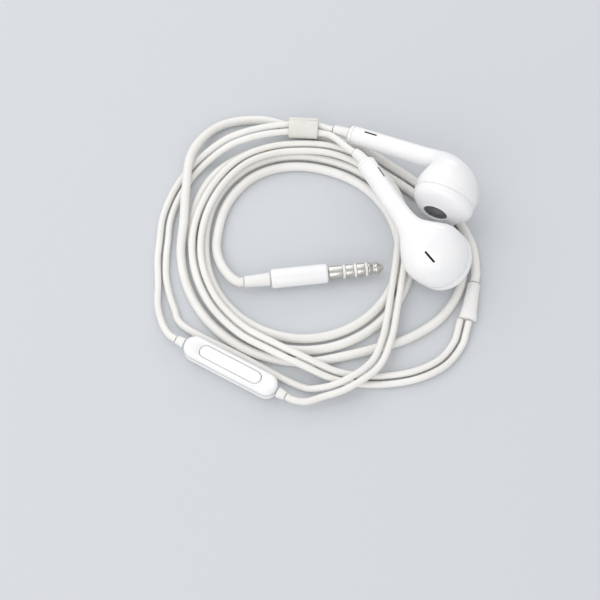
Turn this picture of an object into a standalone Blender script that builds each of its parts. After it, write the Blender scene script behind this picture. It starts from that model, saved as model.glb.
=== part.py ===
# Wired earphones, put away: the cord lies wound in a flat ring and the two earpieces rest on it.
# Lengths are in millimetres, angles in degrees, and every mesh is written in metres through mm.
# The plan's zero is the middle of the two earpieces, and z = 0 is the surface they lie on.

import math

import bmesh
import bpy
import numpy as np
from mathutils import Matrix, Vector

mm = 0.001

# where the ring's plan zero lies from the middle of the two earpieces
layoutX = -20.603
layoutY = -10.434

# clearances
partGap = 0.3
fitGap = 0.15
runGap = 0.3
floorGap = 0.05

# roundness
headSides = 24
turnSides = 20
smallSides = 12

# earpiece: the nozzle looks along local X, the stem runs down local Z
stemDiameter = 4.9
stemAxisX = -7.0
stemEndZ = -29.8
shellWall = 0.7
seamX = 2.4
slotWidth = 0.6
rearSlotLength = 3.6
stemSlotLength = 3.7
stemSlotFromEnd = 4.9
slotMeshLap = 0.4
meshThickness = 0.2
portMeshThickness = 0.3
portRecess = 0.25

# stem end
capThickness = 0.8
capChamfer = 0.35
reliefNeckRadius = 1.0
reliefFlangeRadius = 1.45
reliefFlangeThickness = 0.6
reliefFlangeInset = 0.5
reliefRootRadius = 1.45
reliefMouthRadius = 1.25
reliefLength = 4.4
reliefBore = 0.75
wireDiameter = 0.9
beadRadius = 1.3
beadLength = 2.2
beadGap = 0.5

# driver, along the nozzle axis; its sizes across follow from the frame's radius
frameRadius = 6.8
frameWall = 1.3
frameBack = -0.4
frameLength = 3.1
frameRim = 1.0
frameStep = 0.5
frameClearance = 0.5
yokeRadius = frameRadius - frameWall - runGap
yokeWall = 0.5
yokeBack = -1.9
yokeDepth = 3.4
magnetGroove = 0.9
magnetRadius = yokeRadius - yokeWall - magnetGroove
magnetLength = 2.2
topPlateThickness = 0.6
coilWall = 0.3
coilLength = 2.1
diaphragmRadius = frameRadius - 0.6
diaphragmRise = 0.9
diaphragmFoil = 0.15
gasketRadius = frameRadius - 1.2
gasketWidth = 0.9
gasketThickness = 0.6

# the head's radius at the seam leaves room for the driver and the shell round it
headRadius = frameRadius + frameClearance + shellWall

# cords
mainDiameter = 2.35
legDiameter = 1.7
legPitch = 2.2
flatShare = 0.1
legPointStep = 4.6
tailPointStep = 4.7

# main cord's ring
ringX = -5.0
ringY = 0.0
ringLoops = 3.5
pointsPerLoop = 24
ringStartAngle = -13.0
ringRadius = 33.8
ringPitch = 3.16
# each stretch where the turns stand further out: middle, half its reach, how far
ringSpreads = (
    (-12, 62, 10.3),
    (348, 62, 10.3),
    (123, 45, 10.5),
    (485, 62, 2.0),
    (845, 62, 2.0),
    (1205, 62, 2.0),
    (505, 45, 1.2),
)
# the first turn climbs over the two legs here
humpAngles = (118, 136, 168, 186)
humpHeight = 3.3

# splitter
splitterLength = 10.0
splitterMainRadius = 1.6
splitterLegsWidth = 4.6
splitterLegsHeight = 2.7
splitterHeight = 1.65

# slider, and the arc of the legs that it runs on
sliderLength = 7.7
sliderWidth = 5.6
sliderHeight = 3.5
sliderEdge = 0.6
arcX = -7.5
arcY = -6.2
arcRadius = 40.3
arcHeight = 4.4
sliderRestAngle = 87.15
sliderTravel = 16.0

# remote
remoteLength = 26.0
remoteWidth = 5.8
remoteHeight = 4.5
remoteWall = 0.6
remoteFloor = 0.7
remoteSplit = 2.1
remoteLift = 0.05
remoteX = -23.55
remoteY = -33.25
remoteHeading = 151.05
remoteReliefLength = 2.2
buttonLength = 17.0
buttonWidth = 3.2
buttonProud = 0.1
buttonFlange = 0.4
buttonFlangeThickness = 0.35
buttonFlangeDrop = 0.5
carrierLength = 7.0
carrierThickness = 0.35
boardThickness = 0.4
domeRadius = 0.9
domeHeight = 0.35
domePitch = 6.5
microphoneLength = 2.6
microphoneHeight = 0.8

# plug
plugX = -20.5
plugY = -10.0
plugHeading = 6.5
plugLift = 0.05
plugReliefLength = 6.5
plugReliefRadius = 1.7
barrelLength = 14.5
barrelRadius = 2.5
barrelEdge = 0.4
jackRadius = 1.75
jackLength = 14.0
jackBore = 0.9
ringLength = 2.0
insulatorLength = 0.7
contactGap = 0.08
tipLength = 4.0

# earpiece positions in the ring's plan: head centre, stem's heading and rise, roll about the stem
rightHead = (31.3, 11.9)
rightHeading = -25.9
rightRise = 11.0
rightRoll = -83.3
rightReliefBend = 6.0
leftHead = (rightHead[0] - 0.43125 * headRadius, rightHead[1] - 2.175 * headRadius)
leftHeading = -63.6
leftRise = 11.3
leftRoll = 31.1
leftReliefBend = 22.0

# one row a ring of the rear shell, stem end to seam: inner x, inner z, outer x, outer z, half width;
# the head's own rows are in shares of its radius
stemRadius = stemDiameter / 2
stemInX = stemAxisX + stemRadius
stemOutX = stemAxisX - stemRadius
rearRows = (
    (-0.55, -1.0, -1.1875, -0.775, 0.425),
    (-0.5375, -0.8625, -1.15, -0.325, 0.6125),
    (-0.4875, -0.825, -1.0125, 0.15, 0.8),
    (-0.375, -0.8625, -0.7625, 0.575, 0.9375),
    (-0.175, -0.9625, -0.3875, 0.875, 1.01875),
    (0.05, -1.025, 0.025, 1.0125, 1.03125),
)
rearRings = (
    (stemInX, stemEndZ, stemOutX, stemEndZ, stemRadius),
    (stemInX, -22.0, stemOutX, -22.0, stemRadius),
    (stemInX, -16.0, stemOutX - 0.05, -16.0, stemRadius + 0.05),
    (stemInX + 0.05, -10.5, stemOutX - 0.05, -10.0, stemRadius + 0.25),
    *[tuple(share * headRadius for share in row) for row in rearRows],
    (seamX, -headRadius, seamX, headRadius, headRadius),
)
# the front shell from the seam to the port's rim: the same, then yaw and sideways shift of the ring
frontRows = (
    (0.3375, -0.995, 0.3375, 1.005, 1.0, 0, 0),
    (0.4625, -0.98, 0.4625, 1.025, 0.995, 1, 0),
    (0.6, -0.91, 0.6125, 0.97, 0.92, 3, 0.0125),
    (0.725, -0.79, 0.7375, 0.83, 0.78, 7, 0.03),
    (0.825, -0.63, 0.8375, 0.63, 0.55, 12, 0.06),
    (0.9, -0.46, 0.9125, 0.37, 0.27, 18, 0.1),
)
frontRings = []
for row in frontRows:
    sizes = [share * headRadius for share in row[:5]]
    frontRings.append((*sizes, row[5], row[6] * headRadius))
frontRings[0] = (seamX + partGap, frontRings[0][1], seamX + partGap, *frontRings[0][3:])

# the two legs' shared middle line, by hand: splitter, once round over the ring, down beside the remote
windingRoute = (
    (35.0, -20.3, 1.5), (33.6, -25.5, 1.2), (29.5, -31.0, 0.9), (23.0, -34.5, 0.92),
    (15.5, -36.0, 0.92), (8.5, -36.0, 0.95), (2.0, -35.0, 1.8), (-5.0, -32.3, 3.5),
    (-13.0, -28.2, 3.4), (-21.0, -23.6, 3.4), (-27.8, -16.5, 3.4), (-31.8, -8.0, 3.4),
    (-33.0, 0.5, 3.4), (-31.6, 9.5, 3.4), (-27.6, 18.0, 3.4), (-21.5, 24.6, 3.4),
    (-14.0, 27.9, 3.4), (-6.0, 28.8, 3.4), (2.0, 28.0, 3.4), (9.5, 24.7, 3.4),
    (15.6, 19.0, 3.4), (19.2, 11.5, 3.4), (20.0, 4.0, 3.4), (19.2, -4.0, 3.4),
    (18.0, -11.5, 3.4), (16.8, -18.5, 3.4), (15.2, -26.0, 3.4), (12.0, -33.0, 3.6),
    (5.0, -38.0, 3.4),
)
besideRemoteRoute = (
    (-2.0, -39.6, 1.8), (-8.0, -38.2, 0.92), (-22.0, -30.45, 0.92), (-36.0, -22.7, 0.92),
    (-39.3, -17.0, 0.92),
)
outerRoute = (
    (-41.5, -9.5, 0.92), (-41.9, -3.0, 0.92), (-41.6, 2.6, 0.92), (-41.2, 8.3, 0.92),
    (-39.7, 13.8, 0.92), (-37.3, 19.0, 0.92), (-34.0, 23.7, 1.2), (-29.6, 27.6, 2.5),
    (-25.2, 30.3, 3.7),
)
# the right leg alone, to the remote and away from it
toRemoteRoute = ((-1.0, -41.0, 2.3), (-5.0, -42.2, 2.3))
fromRemoteRoute = ((-40.9, -21.5, 1.8), (-42.4, -16.0, 1.0))
# each leg alone, from the slider's arc to its earpiece
rightEndRoute = ()
leftEndRoute = ((1.9, 31.3, 5.1),)
# the main cord from its ring to the plug
tailRoute = ((-28.0, 0.5, 1.3), (-27.2, -4.0, 1.8), (-24.6, -8.2, 2.4))


def clearScene():
    for item in list(bpy.data.objects):
        bpy.data.objects.remove(item, do_unlink=True)


def collection(name):
    made = bpy.data.collections.new(name)
    bpy.context.scene.collection.children.link(made)
    return made


def material(name, colour, roughness, metallic=0.0):
    made = bpy.data.materials.new(name)
    made.use_nodes = True
    shader = made.node_tree.nodes["Principled BSDF"]
    shader.inputs["Base Color"].default_value = (*colour, 1.0)
    shader.inputs["Roughness"].default_value = roughness
    shader.inputs["Metallic"].default_value = metallic
    made.diffuse_color = (*colour, 1.0)
    return made


def addObject(name, data, parent, finish=None):
    item = bpy.data.objects.new(name, data)
    pieces.objects.link(item)
    item.parent = parent
    if finish:
        data.materials.append(finish)
    return item


def marker(name, parent, matrix):
    item = bpy.data.objects.new(name, None)
    pieces.objects.link(item)
    item.parent = parent
    item.empty_display_size = 0.005
    item.matrix_local = matrix
    return item


def smoothShade(item, angle=40):
    item.data.shade_smooth()
    item.data.set_sharp_from_angle(angle=math.radians(angle))


def placedMatrix(place, columns):
    matrix = Matrix.Identity(4)
    for index, column in enumerate(columns):
        for row in range(3):
            matrix[row][index] = column[row]
    matrix.translation = Vector(place) * mm
    return matrix


# smooth lines ------------------------------------------------------------------------------------

def smoothRows(rows, steps):
    rows = np.array(rows, float)
    padded = np.vstack([2 * rows[0] - rows[1], rows, 2 * rows[-1] - rows[-2]])
    result = []
    for index in range(1, len(padded) - 2):
        a, b, c, d = padded[index - 1:index + 3]
        count = steps[index - 1] if isinstance(steps, (list, tuple)) else steps
        for step in range(count):
            t = step / count
            result.append(0.5 * (2 * b + (c - a) * t + (2 * a - 5 * b + 4 * c - d) * t ** 2
                                 + (3 * b - a - 3 * c + d) * t ** 3))
    result.append(padded[-2])
    return np.array(result)


def evenPoints(route, step):
    # evenly spaced points on the smooth line; its first and last stretch stay straight
    parts = 24
    fine = smoothRows(route, parts)
    middle = fine[parts:-parts]
    run = np.concatenate([[0], np.cumsum(np.linalg.norm(np.diff(middle, axis=0), axis=1))])
    count = max(2, round(run[-1] / step))
    marks = np.linspace(0, run[-1], count + 1)
    points = np.stack([np.interp(marks, run, middle[:, axis]) for axis in range(3)], axis=1)
    return np.vstack([fine[:1], points, fine[-1:]])


def sideways(route, amount):
    route = np.array(route, float)
    ahead = np.gradient(route, axis=0)
    ahead[:, 2] = 0
    ahead /= np.linalg.norm(ahead, axis=1)[:, None]
    left = np.stack([-ahead[:, 1], ahead[:, 0], 0 * ahead[:, 0]], axis=1)
    return route + amount * left


# mesh makers -------------------------------------------------------------------------------------

def loftObject(name, rings, parent, finish, ends="open"):
    # ends: "open" leaves both ends open, "closed" caps them, "joined" joins the last ring to the first
    mesh = bpy.data.meshes.new(name)
    build = bmesh.new()
    rows = [[build.verts.new(Vector(point) * mm) for point in ring] for ring in rings]
    pairs = list(zip(rows, rows[1:]))
    if ends == "joined":
        pairs.append((rows[-1], rows[0]))
    for near, far in pairs:
        for index in range(len(near)):
            after = (index + 1) % len(near)
            build.faces.new((near[index], near[after], far[after], far[index]))
    if ends == "closed":
        build.faces.new(list(reversed(rows[0])))
        build.faces.new(rows[-1])
    if ends == "open":
        middle = sum((vertex.co for vertex in build.verts), Vector()) / len(build.verts)
        build.normal_update()
        outward = sum(face.normal.dot(face.calc_center_median() - middle) for face in build.faces)
        if outward < 0:
            bmesh.ops.reverse_faces(build, faces=build.faces)
    else:
        bmesh.ops.recalc_face_normals(build, faces=build.faces)
    build.to_mesh(mesh)
    build.free()
    item = addObject(name, mesh, parent, finish)
    smoothShade(item)
    return item


def turnedObject(name, profile, parent, finish, sides, location=(0, 0, 0), axis="Z"):
    # profile: (radius, height) down the outer side from the top; a bored piece comes back up its bore
    mesh = bpy.data.meshes.new(name)
    points = [(radius * mm, 0, height * mm) for radius, height in profile]
    edges = [(index, index + 1) for index in range(len(points) - 1)]
    if profile[0][0] > 0 and profile[-1][0] > 0:
        edges.append((len(points) - 1, 0))
    mesh.from_pydata(points, edges, [])
    item = addObject(name, mesh, parent, finish)
    spin = item.modifiers.new("turn", "SCREW")
    spin.steps = sides
    spin.render_steps = sides
    spin.use_merge_vertices = True
    spin.merge_threshold = 1e-6
    spin.use_smooth_shade = True
    item.location = Vector(location) * mm
    if axis == "X":
        item.rotation_euler = (0, math.radians(90), 0)
    return item


def tubeObject(name, points, diameter, parent, finish, resolution):
    curve = bpy.data.curves.new(name, "CURVE")
    curve.dimensions = "3D"
    curve.bevel_depth = diameter / 2 * mm
    curve.bevel_resolution = resolution
    curve.use_fill_caps = True
    spline = curve.splines.new("POLY")
    spline.points.add(len(points) - 1)
    for place, point in zip(spline.points, points):
        place.co = (*(Vector(point) * mm), 1.0)
    return addObject(name, curve, parent, finish)


def meshFromCurve(item):
    bpy.context.view_layer.update()
    graph = bpy.context.evaluated_depsgraph_get()
    mesh = bpy.data.meshes.new_from_object(item.evaluated_get(graph))
    build = bmesh.new()
    build.from_mesh(mesh)
    bmesh.ops.remove_doubles(build, verts=build.verts, dist=1e-7)
    bmesh.ops.recalc_face_normals(build, faces=build.faces)
    build.to_mesh(mesh)
    build.free()
    name = item.name
    parent = item.parent
    bpy.data.objects.remove(item, do_unlink=True)
    made = bpy.data.objects.new(name, mesh)
    mesh.name = name
    pieces.objects.link(made)
    made.parent = parent
    smoothShade(made)
    return made


def cutterBox(name, size, parent, matrix):
    mesh = bpy.data.meshes.new(name)
    build = bmesh.new()
    bmesh.ops.create_cube(build, size=1.0)
    for vertex in build.verts:
        vertex.co = Vector([vertex.co[axis] * size[axis] * mm for axis in range(3)])
    build.to_mesh(mesh)
    build.free()
    item = bpy.data.objects.new(name, mesh)
    cutters.objects.link(item)
    item.parent = parent
    item.matrix_local = matrix
    item.hide_render = True
    item.display_type = "WIRE"
    return item


def cut(item, cutter):
    step = item.modifiers.new("cut", "BOOLEAN")
    step.operation = "DIFFERENCE"
    step.solver = "EXACT"
    step.object = cutter


def stadium(length, width, height, count=24):
    # a ring with straight sides and half-round ends, along local X
    radius = width / 2
    reach = length / 2 - radius
    points = []
    for index in range(count):
        angle = 2 * math.pi * (index + 0.5) / count
        shift = reach if math.cos(angle) > 0 else -reach
        points.append((shift + radius * math.cos(angle), radius * math.sin(angle), height))
    return points


# earpiece ----------------------------------------------------------------------------------------

def ellipseRing(row, side, inset=0.0, forward=0.0):
    innerX, innerZ, outerX, outerZ, halfWidth = row[:5]
    yaw = math.radians(row[5]) * side if len(row) > 5 else 0.0
    shift = row[6] * side if len(row) > 6 else 0.0
    middle = Vector(((innerX + outerX) / 2, shift, (innerZ + outerZ) / 2))
    half = Vector(((innerX - outerX) / 2, 0, (innerZ - outerZ) / 2))
    half *= (half.length - inset) / half.length
    across = Vector((-math.sin(yaw), math.cos(yaw), 0)) * (halfWidth - inset)
    normal = half.cross(across).normalized()
    if normal.x < 0:
        normal = -normal
    ring = []
    for index in range(headSides):
        angle = 2 * math.pi * index / headSides
        ring.append(middle + half * math.cos(angle) + across * math.sin(angle) + normal * forward)
    return ring


def rearShellRings(side):
    rows = smoothRows(rearRings, [1, 1, 1, 2, 2, 2, 2, 2, 2, 2])
    return [ellipseRing(row, side) for row in rows]


def frontShellRings(side):
    rows = smoothRows(frontRings, [1, 2, 2, 2, 2])
    return [ellipseRing(row, side) for row in rows]


def shellFrame(rowIndex, angle, side, turn):
    # a frame on the rear shell's outside: Z out of the shell, X along the stem, turned by turn
    rows = smoothRows(rearRings, 8)
    row = rows[rowIndex]
    beyond = rows[rowIndex + 1]

    def at(ring, around):
        middle = Vector(((ring[0] + ring[2]) / 2, 0, (ring[1] + ring[3]) / 2))
        half = Vector(((ring[0] - ring[2]) / 2, 0, (ring[1] - ring[3]) / 2))
        return middle + half * math.cos(around) + Vector((0, ring[4], 0)) * math.sin(around)

    around = math.radians(angle) * side
    place = at(row, around)
    along = (at(beyond, around) - place).normalized()
    across = (at(row, around + 0.01) - place).normalized()
    out = along.cross(across).normalized()
    middle = Vector(((row[0] + row[2]) / 2, 0, (row[1] + row[3]) / 2))
    if out.dot(place - middle) < 0:
        out = -out
    along = Matrix.Rotation(math.radians(turn), 3, out) @ along
    across = out.cross(along)
    return place, along, across, out


def stemFrame(angle, side):
    # the same on the straight stem, at the stem slot
    around = math.radians(angle) * side
    out = Vector((math.cos(around), math.sin(around), 0))
    along = Vector((0, 0, 1))
    place = Vector((stemAxisX, 0, stemEndZ + stemSlotFromEnd)) + out * stemRadius
    return place, along, out.cross(along), out


def earpieceMatrix(head, heading, rise, roll, side, floor):
    heading = math.radians(heading)
    rise = math.radians(rise)
    roll = math.radians(roll)
    stem = Vector((math.cos(heading) * math.cos(rise), math.sin(heading) * math.cos(rise), math.sin(rise)))
    down = Vector((0, 0, -1))
    down = (down - down.dot(stem) * stem).normalized()
    nozzle = down * math.cos(roll) + stem.cross(down) * math.sin(roll)
    across = stem.cross(nozzle)
    turn = Matrix((nozzle, across, stem)).transposed()
    outline = [turn @ point for ring in rearShellRings(side) + frontShellRings(side) for point in ring]
    height = floor - min(point.z for point in outline)
    return placedMatrix((*head, height), (nozzle, across, stem))


def towardsSlider(matrix):
    # the way a relief leans: from the stem's end to the slider, square to the stem
    end = Vector((stemAxisX, 0, stemEndZ))
    target = matrix.inverted() @ (Vector((arcX, arcY + arcRadius, arcHeight)) * mm) / mm
    way = target - end
    way.z = 0
    return way.normalized()


def reliefStations(bend, towards):
    # path of the strain relief out of the stem's end: place, direction and run from the stem's end
    capFace = partGap + capThickness
    start = capFace + partGap
    out = Vector((0, 0, -1))
    stations = []
    inside = -(reliefFlangeInset + reliefFlangeThickness)
    for run in (inside, -reliefFlangeInset, start):
        stations.append((Vector((stemAxisX, 0, stemEndZ)) + out * run, out.copy(), run))
    steps = 4
    turn = math.radians(bend)
    place = stations[-1][0].copy()
    for step in range(1, steps + 1):
        middle = turn * (step - 0.5) / steps
        heading = out * math.cos(middle) + towards * math.sin(middle)
        place = place + heading * reliefLength / steps
        after = turn * step / steps
        ahead = out * math.cos(after) + towards * math.sin(after)
        stations.append((place.copy(), ahead, start + reliefLength * step / steps))
    return stations


def ringAcross(place, ahead, radius, count):
    side = ahead.cross(Vector((1, 0.3, 0))).normalized()
    other = ahead.cross(side).normalized()
    ring = []
    for index in range(count):
        angle = 2 * math.pi * index / count
        ring.append(place + side * radius * math.cos(angle) + other * radius * math.sin(angle))
    return ring


def strainRelief(name, frame, bend, towards):
    stations = reliefStations(bend, towards)
    flangeIn, flangeOut, root = stations[:3]
    rings = []
    rings.append(ringAcross(flangeIn[0], flangeIn[1], reliefFlangeRadius, smallSides))
    rings.append(ringAcross(flangeOut[0], flangeOut[1], reliefFlangeRadius, smallSides))
    rings.append(ringAcross(flangeOut[0], flangeOut[1], reliefNeckRadius, smallSides))
    rings.append(ringAcross(root[0], root[1], reliefNeckRadius, smallSides))
    rings.append(ringAcross(root[0], root[1], reliefRootRadius, smallSides))
    for place, ahead, run in stations[3:]:
        share = (run - root[2]) / reliefLength
        radius = reliefRootRadius + (reliefMouthRadius - reliefRootRadius) * share
        rings.append(ringAcross(place, ahead, radius, smallSides))
    for place, ahead, run in reversed(stations):
        rings.append(ringAcross(place, ahead, reliefBore, smallSides))
    loftObject(name, rings, frame, rubberWhite, "joined")
    return stations[-1]


def earpiece(prefix, frame, side, bend, towards):
    rear = loftObject(prefix + "rear_shell", rearShellRings(side), frame, shellWhite)
    front = loftObject(prefix + "front_shell", frontShellRings(side), frame, shellWhite)
    for shell in (rear, front):
        wall = shell.modifiers.new("wall", "SOLIDIFY")
        wall.thickness = shellWall * mm
        wall.offset = -1
        wall.use_even_offset = True
    slots(prefix, frame, side, rear)
    portMesh(prefix, frame, side)
    stemEnd(prefix, frame)
    driver(prefix, frame)
    innerWires(prefix, frame)
    return strainRelief(prefix + "strain_relief", frame, bend, towards)


def slots(prefix, frame, side, shell):
    spots = (
        ("rear_slot", rearSlotLength, shellFrame(53, 181, side, 0)),
        ("stem_slot", stemSlotLength, stemFrame(110, side)),
    )
    for name, length, (place, along, across, out) in spots:
        matrix = placedMatrix(place, (along, across, out))
        cutter = cutterBox(prefix + name + "_cutter", (length, slotWidth, 3 * shellWall), frame, matrix)
        cut(shell, cutter)
        # a flat strip behind the slot, as far in as the shell's curve across it needs
        width = 2.2 * slotWidth
        sag = 0.5 if name == "rear_slot" else 0.2
        depth = shellWall + sag + meshThickness
        inward = place - out * depth
        strip = stripObject(prefix + name + "_mesh", (length + 2 * slotMeshLap, width, meshThickness), frame)
        strip.matrix_local = placedMatrix(inward, (along, across, out))


def stripObject(name, size, parent):
    mesh = bpy.data.meshes.new(name)
    build = bmesh.new()
    bmesh.ops.create_cube(build, size=1.0)
    for vertex in build.verts:
        vertex.co = Vector([vertex.co[axis] * size[axis] * mm for axis in range(3)])
    build.to_mesh(mesh)
    build.free()
    return addObject(name, mesh, parent, meshBlack)


def portMesh(prefix, frame, side):
    rim = frontRings[-1]
    inset = partGap + fitGap
    rings = [ellipseRing(rim, side, inset, -portRecess - portMeshThickness),
             ellipseRing(rim, side, inset, -portRecess)]
    loftObject(prefix + "port_mesh", rings, frame, meshGrey, "closed")


def stemEnd(prefix, frame):
    top = stemEndZ - partGap
    base = top - capThickness
    hole = reliefNeckRadius + fitGap
    profile = ((stemRadius, top), (stemRadius, base + capChamfer), (stemRadius - capChamfer, base),
               (hole, base), (hole, top))
    turnedObject(prefix + "stem_cap", profile, frame, shellWhite, turnSides, (stemAxisX, 0, 0))
    middle = stemEndZ + stemSlotFromEnd + stemSlotLength / 2 + slotMeshLap + beadGap + beadLength / 2
    half = beadLength / 2
    bore = wireDiameter / 2 + fitGap
    profile = ((beadRadius - 0.5, middle + half), (beadRadius, middle + half - 0.5),
               (beadRadius, middle - half + 0.5), (beadRadius - 0.5, middle - half),
               (bore, middle - half), (bore, middle + half))
    turnedObject(prefix + "cable_knot", profile, frame, rubberWhite, smallSides, (stemAxisX, 0, 0))


def driver(prefix, frame):
    frameFront = frameBack + frameLength
    frameBore = yokeRadius + runGap
    profile = ((frameBore, frameFront - frameRim), (frameRadius - frameStep, frameFront - frameRim),
               (frameRadius - frameStep, frameFront), (frameRadius, frameFront), (frameRadius, frameBack),
               (frameBore, frameBack))
    turnedObject(prefix + "driver_frame", profile, frame, frameGrey, turnSides, axis="X")
    wallFront = yokeBack + yokeDepth
    profile = ((yokeRadius, wallFront), (yokeRadius, yokeBack), (0, yokeBack))
    inner = ((0, yokeBack + yokeWall), (yokeRadius - yokeWall, yokeBack + yokeWall),
             (yokeRadius - yokeWall, wallFront))
    turnedObject(prefix + "driver_yoke", inner + profile, frame, steelGrey, turnSides, axis="X")
    magnetBack = yokeBack + yokeWall + contactGap
    magnetFront = magnetBack + magnetLength
    profile = ((0, magnetFront), (magnetRadius, magnetFront), (magnetRadius, magnetBack), (0, magnetBack))
    turnedObject(prefix + "driver_magnet", profile, frame, magnetGrey, turnSides, axis="X")
    plateBack = magnetFront + contactGap
    plateFront = plateBack + topPlateThickness
    profile = ((0, plateFront), (magnetRadius, plateFront), (magnetRadius, plateBack), (0, plateBack))
    turnedObject(prefix + "driver_top_plate", profile, frame, steelGrey, turnSides, axis="X")
    coilFront = frameFront - contactGap
    bore = magnetRadius + runGap
    profile = ((bore + coilWall, coilFront), (bore + coilWall, coilFront - coilLength),
               (bore, coilFront - coilLength), (bore, coilFront))
    turnedObject(prefix + "voice_coil", profile, frame, copper, turnSides, axis="X")
    rim = frameFront + contactGap
    roll = rim + diaphragmRise / 2
    crown = rim + diaphragmRise
    foil = diaphragmFoil
    coilRadius = bore + coilWall
    profile = ((0, crown + foil), (coilRadius / 2, roll + foil + 0.25), (coilRadius, rim + foil),
               ((coilRadius + diaphragmRadius) / 2, roll + foil), (diaphragmRadius, rim + foil),
               (diaphragmRadius, rim), ((coilRadius + diaphragmRadius) / 2, roll), (coilRadius, rim),
               (coilRadius / 2, roll + 0.25), (0, crown))
    turnedObject(prefix + "diaphragm", profile, frame, filmGrey, turnSides, axis="X")
    back = crown + foil + contactGap
    profile = ((gasketRadius, back + gasketThickness), (gasketRadius, back),
               (gasketRadius - gasketWidth, back), (gasketRadius - gasketWidth, back + gasketThickness))
    turnedObject(prefix + "driver_gasket", profile, frame, foamBlack, turnSides, axis="X")


def innerWires(prefix, frame):
    route = ((stemAxisX, 0, stemEndZ - 2.0), (stemAxisX, 0, -24), (stemAxisX, 0, -14),
             (stemAxisX, 0, -8), (stemAxisX + 0.6, 0, -4), (stemAxisX + 2.2, 0, -1.5),
             (yokeBack - 1.0, 0, -1.0))
    points = evenPoints(route, 3.6)
    tubeObject(prefix + "inner_wires", points, wireDiameter, frame, copper, 1)


# cords -------------------------------------------------------------------------------------------

def ringPoint(angle):
    turned = angle - ringStartAngle
    radius = ringRadius - ringPitch * turned / 360
    for middle, reach, amount in ringSpreads:
        away = abs(angle - middle)
        if away < reach:
            radius += amount * math.cos(math.pi / 2 * away / reach) ** 2
    floor = mainFlat
    height = floor
    whole = 360 * ringLoops
    if turned < 30:
        height = splitterHeight + (floor - splitterHeight) * easing(turned / 30)
    if turned > whole - 30:
        height = tailHeight + (floor - tailHeight) * easing((whole - turned) / 30)
    rise, top, drop, end = humpAngles
    if rise < angle < end:
        share = easing((angle - rise) / (top - rise)) * easing((end - angle) / (end - drop))
        height = floor + (humpHeight - floor) * share
    around = math.radians(angle)
    return Vector((ringX + radius * math.cos(around), ringY + radius * math.sin(around), height))


def easing(share):
    share = min(1.0, max(0.0, share))
    return share * share * (3 - 2 * share)


def ringPoints():
    count = round(ringLoops * pointsPerLoop)
    points = [ringPoint(ringStartAngle + 360 * index / pointsPerLoop) for index in range(count + 1)]
    ahead = (ringPoint(ringStartAngle + 1) - points[0]).normalized()
    ahead.z = 0
    last = (points[-1] - ringPoint(ringStartAngle + 360 * count / pointsPerLoop - 1)).normalized()
    points.insert(1, points[0] + ahead * mainDiameter)
    points.append(points[-1] + last * mainDiameter)
    return points, ahead, last


def leastGap(points, diameter):
    # least distance of the tube to itself, between stretches that aren't next to each other
    points = np.array([tuple(point) for point in points])
    shares = np.arange(8) / 8
    fine = np.vstack([points[:-1] + (points[1:] - points[:-1]) * share for share in shares])
    order = np.concatenate([np.arange(len(points) - 1) + share for share in shares])
    distance = np.linalg.norm(fine[:, None, :] - fine[None, :, :], axis=2)
    distance[np.abs(order[:, None] - order[None, :]) < 4] = 1e9
    return distance.min() - diameter


def mainCord(root):
    points, ahead, last = ringPoints()
    tube = tubeObject("main_cord_coil", points, mainDiameter, root, cordWhite, 1)
    coil = meshFromCurve(tube)
    coil.data.materials.clear()
    coil.data.materials.append(cordWhite)
    floorBox = cutterBox("floor_cutter", (160, 160, 10), root, Matrix.Translation((0, 0, -5 * mm)))
    cut(coil, floorBox)
    print("main_cord_coil: least gap to itself", round(leastGap(points, mainDiameter), 2), "mm")
    end = points[-1]
    start = end + last * partGap
    heading = math.radians(plugHeading)
    into = Vector((math.cos(heading), math.sin(heading), 0))
    plugEnd = Vector((plugX, plugY, barrelRadius + plugLift)) - into * partGap
    route = [start, start + last * mainDiameter]
    route += [Vector(point) for point in tailRoute]
    route += [plugEnd - into * mainDiameter, plugEnd]
    tubeObject("main_cord_tail", evenPoints(route, tailPointStep), mainDiameter, root, cordWhite, 2)
    return points[0], ahead


def legArc(radius):
    half = math.degrees(sliderLength / 2 / arcRadius)
    first = sliderRestAngle + sliderTravel + half + 0.6
    last = sliderRestAngle - half - 0.6
    count = 7
    points = []
    for index in range(count):
        around = math.radians(first + (last - first) * index / (count - 1))
        points.append((arcX + radius * math.cos(around), arcY + radius * math.sin(around), arcHeight))
    return points


def endOnMouth(frame, mouth):
    place = frame.matrix_local @ (mouth[0] * mm) / mm
    ahead = (frame.matrix_local.to_3x3() @ mouth[1]).normalized()
    return [place + ahead * (partGap + legDiameter), place + ahead * partGap]


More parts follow.
